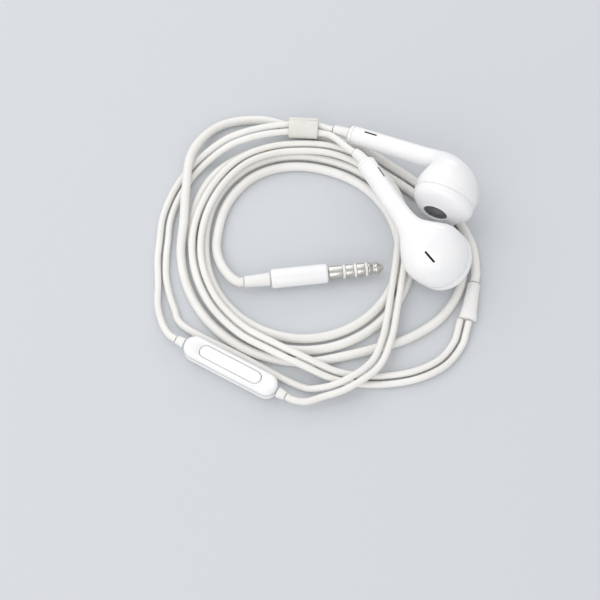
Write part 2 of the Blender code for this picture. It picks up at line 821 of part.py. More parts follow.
def legs(root, leftFrame, leftMouth, rightFrame, rightMouth):
    half = legPitch / 2
    whole = list(windingRoute) + list(besideRemoteRoute) + list(outerRoute)
    left = [tuple(point) for point in sideways(whole, -half)]
    left += legArc(arcRadius - half)
    left += list(leftEndRoute)
    left += [tuple(point) for point in endOnMouth(leftFrame, leftMouth)]
    tubeObject("left_leg_cord", evenPoints(left, legPointStep), legDiameter, root, cordWhite, 2)
    heading = math.radians(remoteHeading)
    along = Vector((math.cos(heading), math.sin(heading), 0))
    middle = Vector((remoteX, remoteY, remoteMiddle))
    reach = remoteLength / 2 + 2 * partGap + remoteReliefLength
    count = len(windingRoute)
    lower = [tuple(point) for point in sideways(whole, half)[:count]]
    lower += list(toRemoteRoute)
    lower += [tuple(middle - along * (reach + legDiameter)), tuple(middle - along * reach)]
    tubeObject("right_leg_lower_cord", evenPoints(lower, legPointStep), legDiameter, root, cordWhite, 2)
    upper = [tuple(middle + along * reach), tuple(middle + along * (reach + legDiameter))]
    upper += list(fromRemoteRoute)
    upper += [tuple(point) for point in sideways(whole, half)[-len(outerRoute):]]
    upper += legArc(arcRadius + half)
    upper += list(rightEndRoute)
    upper += [tuple(point) for point in endOnMouth(rightFrame, rightMouth)]
    tubeObject("right_leg_upper_cord", evenPoints(upper, legPointStep), legDiameter, root, cordWhite, 2)


# pieces on the cord ------------------------------------------------------------------------------

def splitter(root, start, ahead):
    face = start - ahead * partGap
    drop = Vector((0, 0, -(splitterHeight - windingRoute[0][2])))
    back = -ahead
    side = Vector((0, 0, 1)).cross(back).normalized()
    frame = marker("splitter_frame", root, placedMatrix(face, (side, Vector((0, 0, 1)), back)))
    rings = []
    for share, width, height in ((0, splitterMainRadius * 2 - 0.4, splitterMainRadius * 2 - 0.4),
                                 (0.04, splitterMainRadius * 2, splitterMainRadius * 2),
                                 (0.35, splitterMainRadius * 2 + 0.2, splitterMainRadius * 2 - 0.1),
                                 (0.96, splitterLegsWidth, splitterLegsHeight),
                                 (1, splitterLegsWidth - 0.4, splitterLegsHeight - 0.4)):
        ring = []
        for index in range(turnSides):
            angle = 2 * math.pi * index / turnSides
            ring.append((width / 2 * math.cos(angle), height / 2 * math.sin(angle) + drop.z * share,
                         splitterLength * share))
        rings.append(ring)
    loftObject("splitter", rings, frame, rubberWhite, "closed")


def slider(root):
    pivot = Matrix.Translation(Vector((arcX, arcY, arcHeight)) * mm)
    around = math.radians(sliderRestAngle)
    axis = marker("slider_axis", root, pivot)
    mesh = bpy.data.meshes.new("slider")
    build = bmesh.new()
    bmesh.ops.create_cube(build, size=1.0)
    for vertex in build.verts:
        vertex.co = Vector((vertex.co.x * sliderWidth + arcRadius, vertex.co.y * sliderLength,
                            vertex.co.z * sliderHeight)) * mm
        vertex.co = Matrix.Rotation(around, 3, "Z") @ vertex.co
    build.to_mesh(mesh)
    build.free()
    item = addObject("slider", mesh, axis, sliderIvory)
    edge = item.modifiers.new("edge", "BEVEL")
    edge.width = sliderEdge * mm
    edge.segments = 2
    edge.limit_method = "ANGLE"
    # the channel for the two legs follows their arc
    half = math.degrees(sliderLength / 2 / arcRadius) + 1.0
    rings = []
    for step in range(5):
        turn = math.radians(sliderRestAngle + half * (step / 2 - 1))
        out = Vector((math.cos(turn), math.sin(turn), 0))
        section = stadium(legPitch + legDiameter + 2 * runGap, legDiameter + 2 * runGap, 0, 16)
        rings.append([out * (arcRadius + x) + Vector((0, 0, y)) for x, y, z in section])
    channel = loftObject("slider_channel_cutter", rings, axis, None, "closed")
    pieces.objects.unlink(channel)
    cutters.objects.link(channel)
    channel.hide_render = True
    channel.display_type = "WIRE"
    cut(item, channel)


def remote(root):
    heading = math.radians(remoteHeading)
    along = Vector((math.cos(heading), math.sin(heading), 0))
    up = Vector((0, 0, 1))
    place = placedMatrix((remoteX, remoteY, remoteLift), (along, up.cross(along), up))
    frame = marker("remote_frame", root, place)
    length = remoteLength
    width = remoteWidth
    wall = 2 * remoteWall
    split = remoteSplit
    rings = [stadium(length - 2.0, width - 2.0, 0), stadium(length - 0.7, width - 0.7, 0.35),
             stadium(length, width, 1.0), stadium(length, width, split),
             stadium(length - wall, width - wall, split),
             stadium(length - wall, width - wall, remoteFloor + 0.3),
             stadium(length - wall - 0.8, width - wall - 0.8, remoteFloor)]
    loftObject("remote_rear_shell", rings, frame, shellWhite, "closed")
    top = remoteHeight
    ceiling = top - remoteFloor
    hole = 2 * fitGap
    rings = [stadium(length, width, split + partGap), stadium(length, width, top - 1.0),
             stadium(length - 0.7, width - 0.7, top - 0.35), stadium(length - 2.0, width - 2.0, top),
             stadium(buttonLength + hole, buttonWidth + hole, top),
             stadium(buttonLength + hole, buttonWidth + hole, ceiling),
             stadium(length - wall - 0.8, width - wall - 0.8, ceiling),
             stadium(length - wall, width - wall, ceiling - 0.3),
             stadium(length - wall, width - wall, split + partGap)]
    loftObject("remote_front_shell", rings, frame, shellWhite, "joined")
    flangeTop = ceiling - buttonFlangeDrop
    flangeBase = flangeTop - buttonFlangeThickness
    flange = 2 * buttonFlange
    boardTop = remoteFloor + partGap + boardThickness
    domeTop = boardTop + contactGap + domeHeight
    carrierTop = flangeBase - fitGap
    carrierBase = carrierTop - carrierThickness
    press = marker("remote_press_axis", frame, Matrix.Translation((0, 0, carrierTop * mm)))
    rings = [stadium(carrierLength, buttonWidth, -carrierThickness), stadium(carrierLength, buttonWidth, 0)]
    loftObject("remote_button_carrier", rings, press, frameGrey, "closed")
    rocker = marker("remote_rocker_axis", press, Matrix.Translation((0, 0, (flangeBase - carrierTop) * mm)))
    low = flangeBase
    face = top + buttonProud
    rings = [stadium(buttonLength + flange, buttonWidth + flange, 0),
             stadium(buttonLength + flange, buttonWidth + flange, flangeTop - low),
             stadium(buttonLength, buttonWidth, flangeTop - low),
             stadium(buttonLength, buttonWidth, face - low - 0.3),
             stadium(buttonLength - 0.6, buttonWidth - 0.6, face - low)]
    loftObject("remote_button", rings, rocker, shellWhite, "closed")
    boardLength = length - wall - 2 * partGap
    boardWidth = width - wall - 2 * partGap
    base = remoteFloor + partGap
    rings = [stadium(boardLength, boardWidth, base), stadium(boardLength, boardWidth, boardTop)]
    loftObject("remote_board", rings, frame, boardGreen, "closed")
    domes(frame, boardTop + contactGap)
    mesh = bpy.data.meshes.new("remote_microphone")
    build = bmesh.new()
    bmesh.ops.create_cube(build, size=1.0)
    for vertex in build.verts:
        vertex.co = Vector((vertex.co.x * microphoneLength, vertex.co.y * (boardWidth - 1.0),
                            (vertex.co.z + 0.5) * microphoneHeight)) * mm
    build.to_mesh(mesh)
    build.free()
    microphone = addObject("remote_microphone", mesh, frame, steelGrey)
    aside = domePitch + 1.5 * domeRadius + partGap + microphoneLength / 2
    microphone.location = Vector((aside, 0, boardTop + contactGap)) * mm
    middle = remoteMiddle - remoteLift
    for name, sign in (("remote_upper_relief", 1), ("remote_lower_relief", -1)):
        profile = ((0, remoteReliefLength), (legDiameter / 2 + 0.2, remoteReliefLength),
                   (legDiameter / 2 + 0.5, 0), (0, 0))
        relief = turnedObject(name, profile, frame, rubberWhite, smallSides)
        relief.rotation_euler = (0, math.radians(90 * sign), 0)
        relief.location = Vector((sign * (length / 2 + partGap), 0, middle)) * mm


def domes(frame, base):
    # three switch domes share one backing film
    count = turnSides
    film = 0.08
    mesh = bpy.data.meshes.new("remote_domes")
    build = bmesh.new()
    bmesh.ops.create_cube(build, size=1.0)
    for vertex in build.verts:
        vertex.co = Vector((vertex.co.x * (2 * domePitch + 3 * domeRadius), vertex.co.y * 2.4 * domeRadius,
                            (vertex.co.z + 0.5) * film)) * mm
    build.to_mesh(mesh)
    build.free()
    sheet = addObject("remote_domes", mesh, frame, steelGrey)
    sheet.location = Vector((0, 0, base)) * mm
    for index in (-1, 0, 1):
        height = domeHeight
        half = film / 2
        profile = ((0, height), (domeRadius * 0.6, height - 0.08), (domeRadius, half), (0, half))
        dome = turnedObject("dome_%d_joiner" % (index + 2), profile, sheet, None, count)
        pieces.objects.unlink(dome)
        cutters.objects.link(dome)
        dome.hide_render = True
        dome.display_type = "WIRE"
        dome.location = Vector((index * domePitch, 0, 0)) * mm
        join = sheet.modifiers.new("dome", "BOOLEAN")
        join.operation = "UNION"
        join.solver = "EXACT"
        join.object = dome


def plug(root):
    heading = math.radians(plugHeading)
    along = Vector((math.cos(heading), math.sin(heading), 0))
    side = Vector((0, 0, 1)).cross(along)
    frame = marker("plug_frame", root, placedMatrix((plugX, plugY, barrelRadius + plugLift),
                                                    (side.cross(along), side, along)))
    reliefTip = mainDiameter / 2 + 0.25
    profile = ((0, plugReliefLength), (plugReliefRadius, plugReliefLength), (reliefTip, 0), (0, 0))
    turnedObject("plug_relief", profile, frame, rubberWhite, turnSides)
    base = plugReliefLength + partGap
    top = base + barrelLength
    profile = ((0, top), (barrelRadius - barrelEdge, top), (barrelRadius, top - barrelEdge),
               (barrelRadius, base + barrelEdge), (barrelRadius - barrelEdge, base), (0, base))
    turnedObject("plug_barrel", profile, frame, shellWhite, headSides)
    start = top + partGap
    pitch = insulatorLength + 2 * contactGap
    sleeveLength = jackLength - tipLength - 2 * ringLength - 3 * pitch
    bore = jackBore + fitGap
    spans = (("plug_sleeve", sleeveLength), ("plug_ring_rear", ringLength), ("plug_ring_front", ringLength))
    low = start
    collars = []
    for name, span in spans:
        profile = ((jackRadius, low + span), (jackRadius, low), (bore, low), (bore, low + span))
        turnedObject(name, profile, frame, steelBright, turnSides)
        collars.append((low + span + contactGap, low + span + contactGap + insulatorLength))
        low += span + pitch
    seat = tipLength * 0.3
    profile = ((0, low + tipLength), (0.5, low + tipLength), (1.6, low + 2.3), (1.6, low + 2.0),
               (1.15, low + 1.3), (jackRadius - 0.05, low + 0.5), (jackRadius - 0.05, low),
               (bore, low), (bore, low + seat), (0, low + seat))
    turnedObject("plug_tip", profile, frame, steelBright, turnSides)
    profile = [(0, low + seat - contactGap), (jackBore, low + seat - contactGap)]
    for bottom, above in reversed(collars):
        profile += [(jackBore, above), (jackRadius, above), (jackRadius, bottom), (jackBore, bottom)]
    profile += [(jackBore, start), (0, start)]
    turnedObject("plug_insulators", profile, frame, insulatorWhite, turnSides)


clearScene()
pieces = collection("earphones")
cutters = collection("cutters")
shellWhite = material("gloss white shell", (0.88, 0.88, 0.89), 0.14)
rubberWhite = material("moulded white elastomer", (0.8, 0.8, 0.79), 0.42)
cordWhite = material("satin white cord jacket", (0.79, 0.78, 0.75), 0.4)
sliderIvory = material("ivory slider", (0.72, 0.7, 0.63), 0.45)
meshGrey = material("woven steel mesh", (0.13, 0.13, 0.14), 0.45, 0.7)
meshBlack = material("black slot mesh", (0.02, 0.02, 0.022), 0.6)
frameGrey = material("grey moulded frame", (0.3, 0.3, 0.31), 0.5)
steelGrey = material("plated steel", (0.5, 0.5, 0.5), 0.35, 1.0)
magnetGrey = material("nickel magnet", (0.42, 0.42, 0.43), 0.3, 1.0)
copper = material("copper winding", (0.72, 0.4, 0.25), 0.35, 1.0)
filmGrey = material("diaphragm film", (0.55, 0.56, 0.58), 0.25)
foamBlack = material("black foam", (0.03, 0.03, 0.03), 0.9)
boardGreen = material("green circuit board", (0.03, 0.22, 0.1), 0.45)
steelBright = material("bright plated contact", (0.75, 0.74, 0.72), 0.18, 1.0)
insulatorWhite = material("white insulator", (0.7, 0.7, 0.7), 0.4)

# the ring's cord is cut flat underneath, so its middle lies a little under its own radius
mainFlat = mainDiameter / 2 - flatShare * mainDiameter
mainTop = mainFlat + mainDiameter / 2
tailHeight = mainDiameter / 2 + floorGap
remoteMiddle = remoteLift + remoteSplit + partGap / 2

earphones = marker("earphones_root", None, Matrix.Translation(Vector((layoutX, layoutY, 0)) * mm))
rightMatrix = earpieceMatrix(rightHead, rightHeading, rightRise, rightRoll, -1, mainTop + partGap)
leftMatrix = earpieceMatrix(leftHead, leftHeading, leftRise, leftRoll, 1, 0.0)
rightFrame = marker("right_earpiece_frame", earphones, rightMatrix)
leftFrame = marker("left_earpiece_frame", earphones, leftMatrix)

rightMouth = earpiece("right_", rightFrame, -1, rightReliefBend, towardsSlider(rightMatrix))
leftMouth = earpiece("left_", leftFrame, 1, leftReliefBend, towardsSlider(leftMatrix))
cordStart, cordAhead = mainCord(earphones)
legs(earphones, leftFrame, leftMouth, rightFrame, rightMouth)
splitter(earphones, cordStart, cordAhead)
slider(earphones)
remote(earphones)
plug(earphones)
bpy.context.view_layer.update()
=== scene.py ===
# Looks for the wired earphones: white shells and cord, wound in a flat ring with the earpieces on top.
# Lengths are in millimetres and angles in degrees, in the plan of the ring; mm takes them to metres.

from math import cos, degrees, pi, radians, sin, sqrt

import bmesh
import bpy
import numpy as np
from mathutils import Matrix, Vector


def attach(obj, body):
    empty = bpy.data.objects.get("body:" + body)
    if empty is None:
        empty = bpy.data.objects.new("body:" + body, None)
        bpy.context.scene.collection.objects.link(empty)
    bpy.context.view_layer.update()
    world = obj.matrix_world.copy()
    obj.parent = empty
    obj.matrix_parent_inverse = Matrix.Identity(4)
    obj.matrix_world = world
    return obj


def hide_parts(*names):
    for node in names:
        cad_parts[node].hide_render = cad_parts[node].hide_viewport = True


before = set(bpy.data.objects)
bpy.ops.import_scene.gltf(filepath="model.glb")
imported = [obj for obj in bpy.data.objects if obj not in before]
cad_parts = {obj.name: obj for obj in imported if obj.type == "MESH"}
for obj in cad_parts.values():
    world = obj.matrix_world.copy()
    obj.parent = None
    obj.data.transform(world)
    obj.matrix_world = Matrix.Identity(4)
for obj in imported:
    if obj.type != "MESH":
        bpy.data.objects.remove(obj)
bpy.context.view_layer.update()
mm = 0.001

layout = {"x": -20.603, "y": -10.434, "partGap": 0.3, "fitGap": 0.15, "runGap": 0.3}
shift = Vector((layout["x"], layout["y"], 0))
up = Vector((0, 0, 1))


def smoothRows(rows, steps):
    # a smooth line through rows of numbers, steps points to each stretch
    rows = np.array(rows, float)
    padded = np.vstack([2 * rows[0] - rows[1], rows, 2 * rows[-1] - rows[-2]])
    result = []
    for index in range(1, len(padded) - 2):
        a, b, c, d = padded[index - 1:index + 3]
        count = steps[index - 1] if isinstance(steps, (list, tuple)) else steps
        for step in range(count):
            t = step / count
            result.append(0.5 * (2 * b + (c - a) * t + (2 * a - 5 * b + 4 * c - d) * t ** 2
                                 + (3 * b - a - 3 * c + d) * t ** 3))
    result.append(padded[-2])
    return np.array(result)


def frameAt(place, along, out):
    # x goes along, z goes out and y completes them
    matrix = Matrix((along, out.cross(along), out)).transposed().to_4x4()
    matrix.translation = Vector(place)
    return matrix


def planWay(angle):
    # one millimetre in the plan, angle degrees from x
    return Vector((cos(radians(angle)), sin(radians(angle)), 0))


def newObject(name, data):
    made = bpy.data.objects.new(name, data)
    bpy.context.scene.collection.objects.link(made)
    return made


def meshPiece(name, rings, place, finish, ends="open", smoothAngle=40):
    # rings of points in place's own frame become one skin; the object stays at the origin
    build = bmesh.new()
    rows = [[build.verts.new((shift + place @ Vector(point)) * mm) for point in ring] for ring in rings]
    pairs = list(zip(rows, rows[1:]))
    if ends == "joined":
        pairs.append((rows[-1], rows[0]))
    for near, far in pairs:
        count = max(len(near), len(far))
        for index in range(count):
            after = (index + 1) % count
            corners = [near[index % len(near)], near[after % len(near)], far[after % len(far)],
                       far[index % len(far)]]
            corners = [corner for order, corner in enumerate(corners) if corner not in corners[:order]]
            if len(corners) > 2:
                build.faces.new(corners)
    if ends == "closed":
        for row in (rows[0], rows[-1]):
            if len(row) > 2:
                build.faces.new(row)
    bmesh.ops.recalc_face_normals(build, faces=build.faces)
    if ends == "open":
        middle = sum((vertex.co for vertex in build.verts), Vector()) / len(build.verts)
        outward = sum(face.normal.dot(face.calc_center_median() - middle) for face in build.faces)
        if outward < 0:
            bmesh.ops.reverse_faces(build, faces=build.faces)
    mesh = bpy.data.meshes.new(name)
    build.to_mesh(mesh)
    build.free()
    mesh.materials.append(finishes[finish])
    mesh.shade_smooth()
    mesh.set_sharp_from_angle(angle=radians(smoothAngle))
    return newObject(name, mesh)


def rounded(profile, radius, closed):
    # each corner of a profile becomes a small arc, no larger than its sides allow
    mostOfSide = 0.45
    points = [Vector(point) for point in profile]
    result = []
    for index, point in enumerate(points):
        if not closed and index in (0, len(points) - 1):
            result.append(tuple(point))
            continue
        before = points[index - 1] - point
        after = points[(index + 1) % len(points)] - point
        reach = min(radius, mostOfSide * before.length, mostOfSide * after.length)
        start = point + before.normalized() * reach
        end = point + after.normalized() * reach
        for share in (0, 0.25, 0.5, 0.75, 1):
            result.append(tuple(start.lerp(point, share).lerp(point.lerp(end, share), share)))
    return result


def oval(halfLength, halfWidth, height, sides):
    turn = 2 * pi / sides
    return [(halfLength * cos(turn * index), halfWidth * sin(turn * index), height)
            for index in range(sides)]


def turnedPiece(name, profile, place, finish, sides=64, edge=0.12):
    # profile is (radius, height); a piece with a bore closes on itself
    bored = profile[0][0] > 0 and profile[-1][0] > 0
    rings = []
    for radius, height in rounded(profile, edge, bored):
        rings.append(oval(radius, radius, height, sides) if radius > 1e-6 else [(0, 0, height)])
    return meshPiece(name, rings, place, finish, "joined" if bored else "closed", 50)


def stadium(length, width, height, count=72):
    radius = width / 2
    reach = length / 2 - radius
    points = []
    for index in range(count):
        angle = 2 * pi * (index + 0.5) / count
        along = reach if cos(angle) > 0 else -reach
        points.append((along + radius * cos(angle), radius * sin(angle), height))
    return points


def finishPiece(piece, nodes=(), body="earphones"):
    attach(piece, body)
    if nodes:
        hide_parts(*nodes)
    return piece


def applied(piece):
    # the piece's modifiers become plain mesh
    bpy.context.view_layer.update()
    graph = bpy.context.evaluated_depsgraph_get()
    mesh = bpy.data.meshes.new_from_object(piece.evaluated_get(graph))
    piece.modifiers.clear()
    piece.data = mesh


def cutBy(piece, cutters, smoothAngle):
    # the cutters' shapes are taken out of the piece
    for cutter in cutters:
        cut = piece.modifiers.new("cut", "BOOLEAN")
        cut.operation = "DIFFERENCE"
        cut.solver = "EXACT"
        cut.object = cutter
    applied(piece)
    for cutter in cutters:
        bpy.data.objects.remove(cutter, do_unlink=True)
    piece.data.shade_smooth()
    piece.data.set_sharp_from_angle(angle=radians(smoothAngle))


def linear(hexColour):
    values = []
    for index in (0, 2, 4):
        value = int(hexColour[index:index + 2], 16) / 255
        values.append(value / 12.92 if value <= 0.04045 else ((value + 0.055) / 1.055) ** 2.4)
    return (*values, 1.0)


def addNode(tree, kind, values=None):
    # a value is a setting, a node whose first output goes in, or a node with the name of its output
    node = tree.nodes.new(kind)
    for key, value in (values or {}).items():
        source, output = value if isinstance(value, tuple) and len(value) == 2 else (value, 0)
        if isinstance(source, bpy.types.Node):
            tree.links.new(source.outputs[output], node.inputs[key])
        elif isinstance(key, int) or key in node.inputs:
            node.inputs[key].default_value = value
        else:
            setattr(node, key, value)
    return node


def startMaterial(name, settings):
    material = bpy.data.materials.new(name)
    material.use_nodes = True
    shader = material.node_tree.nodes["Principled BSDF"]
    for key, value in settings.items():
        shader.inputs[key].default_value = value
    return material, shader


def makeFinish(name, settings, colours, drift, roughness, grain, lift):
    # over drift mm the colour wanders between two tones and the roughness between two values;
    # a grain of grain mm, as coarse as it needs to show, lifts the surface by lift: strength, height in mm
    material, shader = startMaterial(name, settings)
    tree = material.node_tree
    place = (addNode(tree, "ShaderNodeTexCoord"), "Object")
    cloud = addNode(tree, "ShaderNodeTexNoise", {"Scale": 1 / (drift * mm), "Detail": 3.0, "Vector": place})
    tone = addNode(tree, "ShaderNodeValToRGB", {"Fac": cloud})
    for stop, position, colour in zip(tone.color_ramp.elements, (0.35, 0.65), colours):
        stop.position = position
        stop.color = linear(colour)
    gloss = addNode(tree, "ShaderNodeMapRange",
                    {"To Min": roughness[0], "To Max": roughness[1], "Value": cloud})
    fine = addNode(tree, "ShaderNodeTexNoise", {"Scale": 1 / (grain * mm), "Detail": 2.0, "Vector": place})
    bump = addNode(tree, "ShaderNodeBump", {"Strength": lift[0], "Distance": lift[1] * mm, "Height": fine})
    for key, node in (("Base Color", tone), ("Roughness", gloss), ("Normal", bump)):
        tree.links.new(node.outputs[0], shader.inputs[key])
    return material


finishes = {
    # injection-moulded in a polished tool: bright white, tight highlights, the faintest flow waviness
    "shell": makeFinish("polished white polycarbonate", {"IOR": 1.57}, ("F1F1F2", "F5F5F5"), 9.0,
                        (0.16, 0.22), 2.6, (0.08, 0.03)),
    # extruded over the wires: warm white and satin, with a very fine grain and a slight sheen
    "cord": makeFinish("extruded white elastomer jacket",
                       {"IOR": 1.5, "Sheen Weight": 0.08, "Sheen Roughness": 0.4},
                       ("EAE8E3", "F0EFEB"), 14.0, (0.36, 0.46), 0.16, (0.16, 0.02)),
    # moulded over the cord in a spark-eroded tool: white, duller than the cord
    "relief": makeFinish("overmoulded white elastomer", {"IOR": 1.5}, ("ECEBE8", "F0EFED"), 6.0,
                         (0.44, 0.54), 0.12, (0.22, 0.02)),
    # moulded from a softer polymer: semi-matt, ivory and a little darker than the cord
    "slider": makeFinish("semi-matt ivory polymer", {"IOR": 1.5}, ("DBDAD3", "E4E3DD"), 4.0,
                         (0.4, 0.5), 0.14, (0.2, 0.02)),
    # woven from dark-plated wire: grey glints along the wires
    "portMesh": makeFinish("dark-plated woven steel", {"Metallic": 1.0}, ("808082", "9E9EA0"), 2.0,
                           (0.32, 0.45), 0.2, (0.15, 0.01)),
    # woven for sound to pass: matt and near black, with a fine thread grain
    "slotMesh": makeFinish("black acoustic cloth", {"IOR": 1.45}, ("1A1A19", "242423"), 1.0,
                           (0.75, 0.9), 0.12, (0.5, 0.03)),
    # turned and nickel-plated: bright, with faint tool marks
    "contact": makeFinish("nickel-plated turned brass", {"Metallic": 1.0}, ("C9C6C0", "D6D4D0"), 3.0,
                          (0.14, 0.24), 0.08, (0.12, 0.01)),
}
# the inner pieces' finishes share one grain
innerFinishes = {
    # moulded: mid grey and dull
    "innerFrame": ("grey moulded polymer", {"IOR": 1.5}, ("8C8C8F", "949497"), (0.45, 0.55)),
    # pressed from plated sheet: pale grey, softly bright
    "steel": ("zinc-plated pressed steel", {"Metallic": 1.0}, ("B4B5B6", "C0C1C1"), (0.3, 0.42)),
    # pressed powder under plating: grey and bright, a little uneven
    "magnet": ("nickel-plated sintered magnet", {"Metallic": 1.0}, ("A8A8AA", "B2B2B3"), (0.25, 0.4)),
    # wound from lacquered wire: warm and glossy
    "copper": ("enamelled copper winding", {"Metallic": 1.0}, ("C8794A", "D68B58"), (0.28, 0.4)),
    # pressed thin: pale and smooth
    "film": ("pressed polymer film", {"IOR": 1.6}, ("C4C6CA", "CED0D3"), (0.2, 0.3)),
    # blown: black, with no shine
    "foam": ("black open-cell foam", {"IOR": 1.4}, ("1A1A1A", "242424"), (0.85, 0.95)),
    # coated: green lacquer over the board
    "board": ("green solder mask", {"IOR": 1.5}, ("2A6B40", "33784A"), (0.35, 0.45)),
    # moulded between the contacts: white, satin
    "insulator": ("white moulded insulator", {"IOR": 1.5}, ("E4E4E2", "ECECEA"), (0.35, 0.45)),
}
for finishKey, (finishName, settings, colours, roughness) in innerFinishes.items():
    finishes[finishKey] = makeFinish(finishName, settings, colours, 3.0, roughness, 0.2, (0.15, 0.02))
print("materials made")


camera = {"elevation": 66.0, "distance": 360.0, "lens": 84.9, "sensor": 36.0, "targetX": -6.4,
          "targetY": -13.93}


def makeCamera():
    data = bpy.data.cameras.new("camera")
    data.lens = camera["lens"]
    data.sensor_width = camera["sensor"]
    data.clip_start = 0.01
    data.clip_end = 20
    eye = newObject("camera", data)
    tilt = radians(camera["elevation"])
    target = Vector((camera["targetX"], camera["targetY"], 0)) + shift
    away = Vector((0, -cos(tilt), sin(tilt))) * camera["distance"]
    eye.location = (target + away) * mm
    eye.rotation_euler = (radians(90) - tilt, 0, 0)
    bpy.context.scene.camera = eye


makeCamera()
print("camera placed")


# the earpiece's shape, shared by the cords' ends and the shells
stem = {"diameter": 4.9, "axisX": -7.0, "endZ": -29.8, "wall": 0.7, "slotFromEnd": 4.9}
stemRadius = stem["diameter"] / 2
stemInX = stem["axisX"] + stemRadius
stemOutX = stem["axisX"] - stemRadius
seamX = 2.4
headRadius = 8.0
# a row a ring: inner x, inner z, outer x, outer z, half width; the head's rows are in shares of its radius
rearRows = (
    (-0.55, -1.0, -1.1875, -0.775, 0.425),
    (-0.5375, -0.8625, -1.15, -0.325, 0.6125),
    (-0.4875, -0.825, -1.0125, 0.15, 0.8),
    (-0.375, -0.8625, -0.7625, 0.575, 0.9375),
    (-0.175, -0.9625, -0.3875, 0.875, 1.01875),
    (0.05, -1.025, 0.025, 1.0125, 1.03125),
)
rearRings = (
    (stemInX, stem["endZ"], stemOutX, stem["endZ"], stemRadius),
    (stemInX, -22.0, stemOutX, -22.0, stemRadius),
    (stemInX, -16.0, stemOutX - 0.05, -16.0, stemRadius + 0.05),
    (stemInX + 0.05, -10.5, stemOutX - 0.05, -10.0, stemRadius + 0.25),
    *[tuple(share * headRadius for share in row) for row in rearRows],
    (seamX, -headRadius, seamX, headRadius, headRadius),
)
# the same for the front half, then the ring's yaw and sideways shift
frontRows = (
    (0.3375, -0.995, 0.3375, 1.005, 1.0, 0, 0),
    (0.4625, -0.98, 0.4625, 1.025, 0.995, 1, 0),
    (0.6, -0.91, 0.6125, 0.97, 0.92, 3, 0.0125),
    (0.725, -0.79, 0.7375, 0.83, 0.78, 7, 0.03),
    (0.825, -0.63, 0.8375, 0.63, 0.55, 12, 0.06),
    (0.9, -0.46, 0.9125, 0.37, 0.27, 18, 0.1),
)
frontRings = [(*[share * headRadius for share in row[:5]], row[5], row[6] * headRadius)
              for row in frontRows]
# the seam closes to a hairline here, where the solids keep a wider gap
seamGap = 0.05
frontRings[0] = (seamX + seamGap, frontRings[0][1], seamX + seamGap, *frontRings[0][3:])

mainCord = {"diameter": 2.35, "flatShare": 0.1, "ringX": -5.0, "ringY": 0.0, "loops": 3.5,
            "pointsPerLoop": 24, "startAngle": -13.0, "radius": 33.8, "pitch": 3.16, "humpHeight": 3.3,
            "tailLift": 0.05, "easeAngle": 30,
            # where the turns spread out: middle angle, reach either way, added radius
            "spreads": ((-12, 62, 10.3), (348, 62, 10.3), (123, 45, 10.5), (485, 62, 2.0), (845, 62, 2.0),
                        (1205, 62, 2.0), (505, 45, 1.2)),
            # where it climbs over the legs: rise, top, drop, end
            "humpAngles": (118, 136, 168, 186)}
mainFlat = mainCord["diameter"] * (0.5 - mainCord["flatShare"])
earpieces = {
    "right": {"head": (31.3, 11.9), "heading": -25.9, "rise": 11.0, "roll": -83.3, "side": -1,
              "bend": 6.0, "floor": mainFlat + mainCord["diameter"] / 2 + layout["partGap"]},
    "left": {"head": (27.85, -5.5), "heading": -63.6, "rise": 11.3, "roll": 31.1, "side": 1,
             "bend": 22.0, "floor": 0.0},
}


def ellipseRing(row, side, sides, inset=0.0, forward=0.0):
    innerX, innerZ, outerX, outerZ, halfWidth = row[:5]
    yaw = radians(row[5]) * side if len(row) > 5 else 0.0
    aside = row[6] * side if len(row) > 6 else 0.0
    middle = Vector(((innerX + outerX) / 2, aside, (innerZ + outerZ) / 2))
    half = Vector(((innerX - outerX) / 2, 0, (innerZ - outerZ) / 2))
    half *= (half.length - inset) / half.length
    across = Vector((-sin(yaw), cos(yaw), 0)) * (halfWidth - inset)
    normal = half.cross(across).normalized()
    if normal.x < 0:
        normal = -normal
    return [middle + half * x + across * y + normal * forward for x, y, z in oval(1, 1, 0, sides)]


def earpieceMatrix(facts):
    # the head's height follows from its lowest point, measured as coarsely as the solid is
    rise = radians(facts["rise"])
    roll = radians(facts["roll"])
    along = planWay(facts["heading"]) * cos(rise) + up * sin(rise)
    down = (up.dot(along) * along - up).normalized()
    nozzle = down * cos(roll) + along.cross(down) * sin(roll)
    turned = frameAt((0, 0, 0), nozzle, along)
    edge = (seamX + layout["partGap"], frontRings[0][1], seamX + layout["partGap"], *frontRings[0][3:])
    rows = list(smoothRows(rearRings, [1, 1, 1, 2, 2, 2, 2, 2, 2, 2]))
    rows += list(smoothRows([edge, *frontRings[1:]], [1, 2, 2, 2, 2]))
    low = min((turned @ point).z for row in rows for point in ellipseRing(row, facts["side"], 24))
    turned.translation = (*facts["head"], facts["floor"] - low)
    return turned


# each earpiece's strain relief, and the cap that it leaves the stem through
relief = {"neckRadius": 1.0, "flangeRadius": 1.45, "flangeThickness": 0.6, "flangeInset": 0.5,
          "rootRadius": 1.45, "mouthRadius": 1.25, "length": 4.4, "bore": 0.75, "edge": 0.12,
          "rootEdge": 0.1, "capThickness": 0.8, "capChamfer": 0.35, "capEdge": 0.14}
# the legs' arc and the slider's channel go on past its ends, by arcBeyond and channelBeyond degrees
slider = {"length": 7.7, "width": 5.6, "height": 3.5, "arcX": -7.5, "arcY": -6.2, "arcRadius": 40.3,
          "arcHeight": 4.4, "restAngle": 87.15, "travel": 16.0, "arcBeyond": 0.6,
          "channelBeyond": 1.0, "cornerRound": 1.45, "endRound": 0.3, "sideFlat": 0.05,
          "lineInset": 1.4, "lineHalfWidth": 0.07, "lineDepth": 0.1}
sliderCentre = Vector((slider["arcX"], slider["arcY"], slider["arcHeight"]))


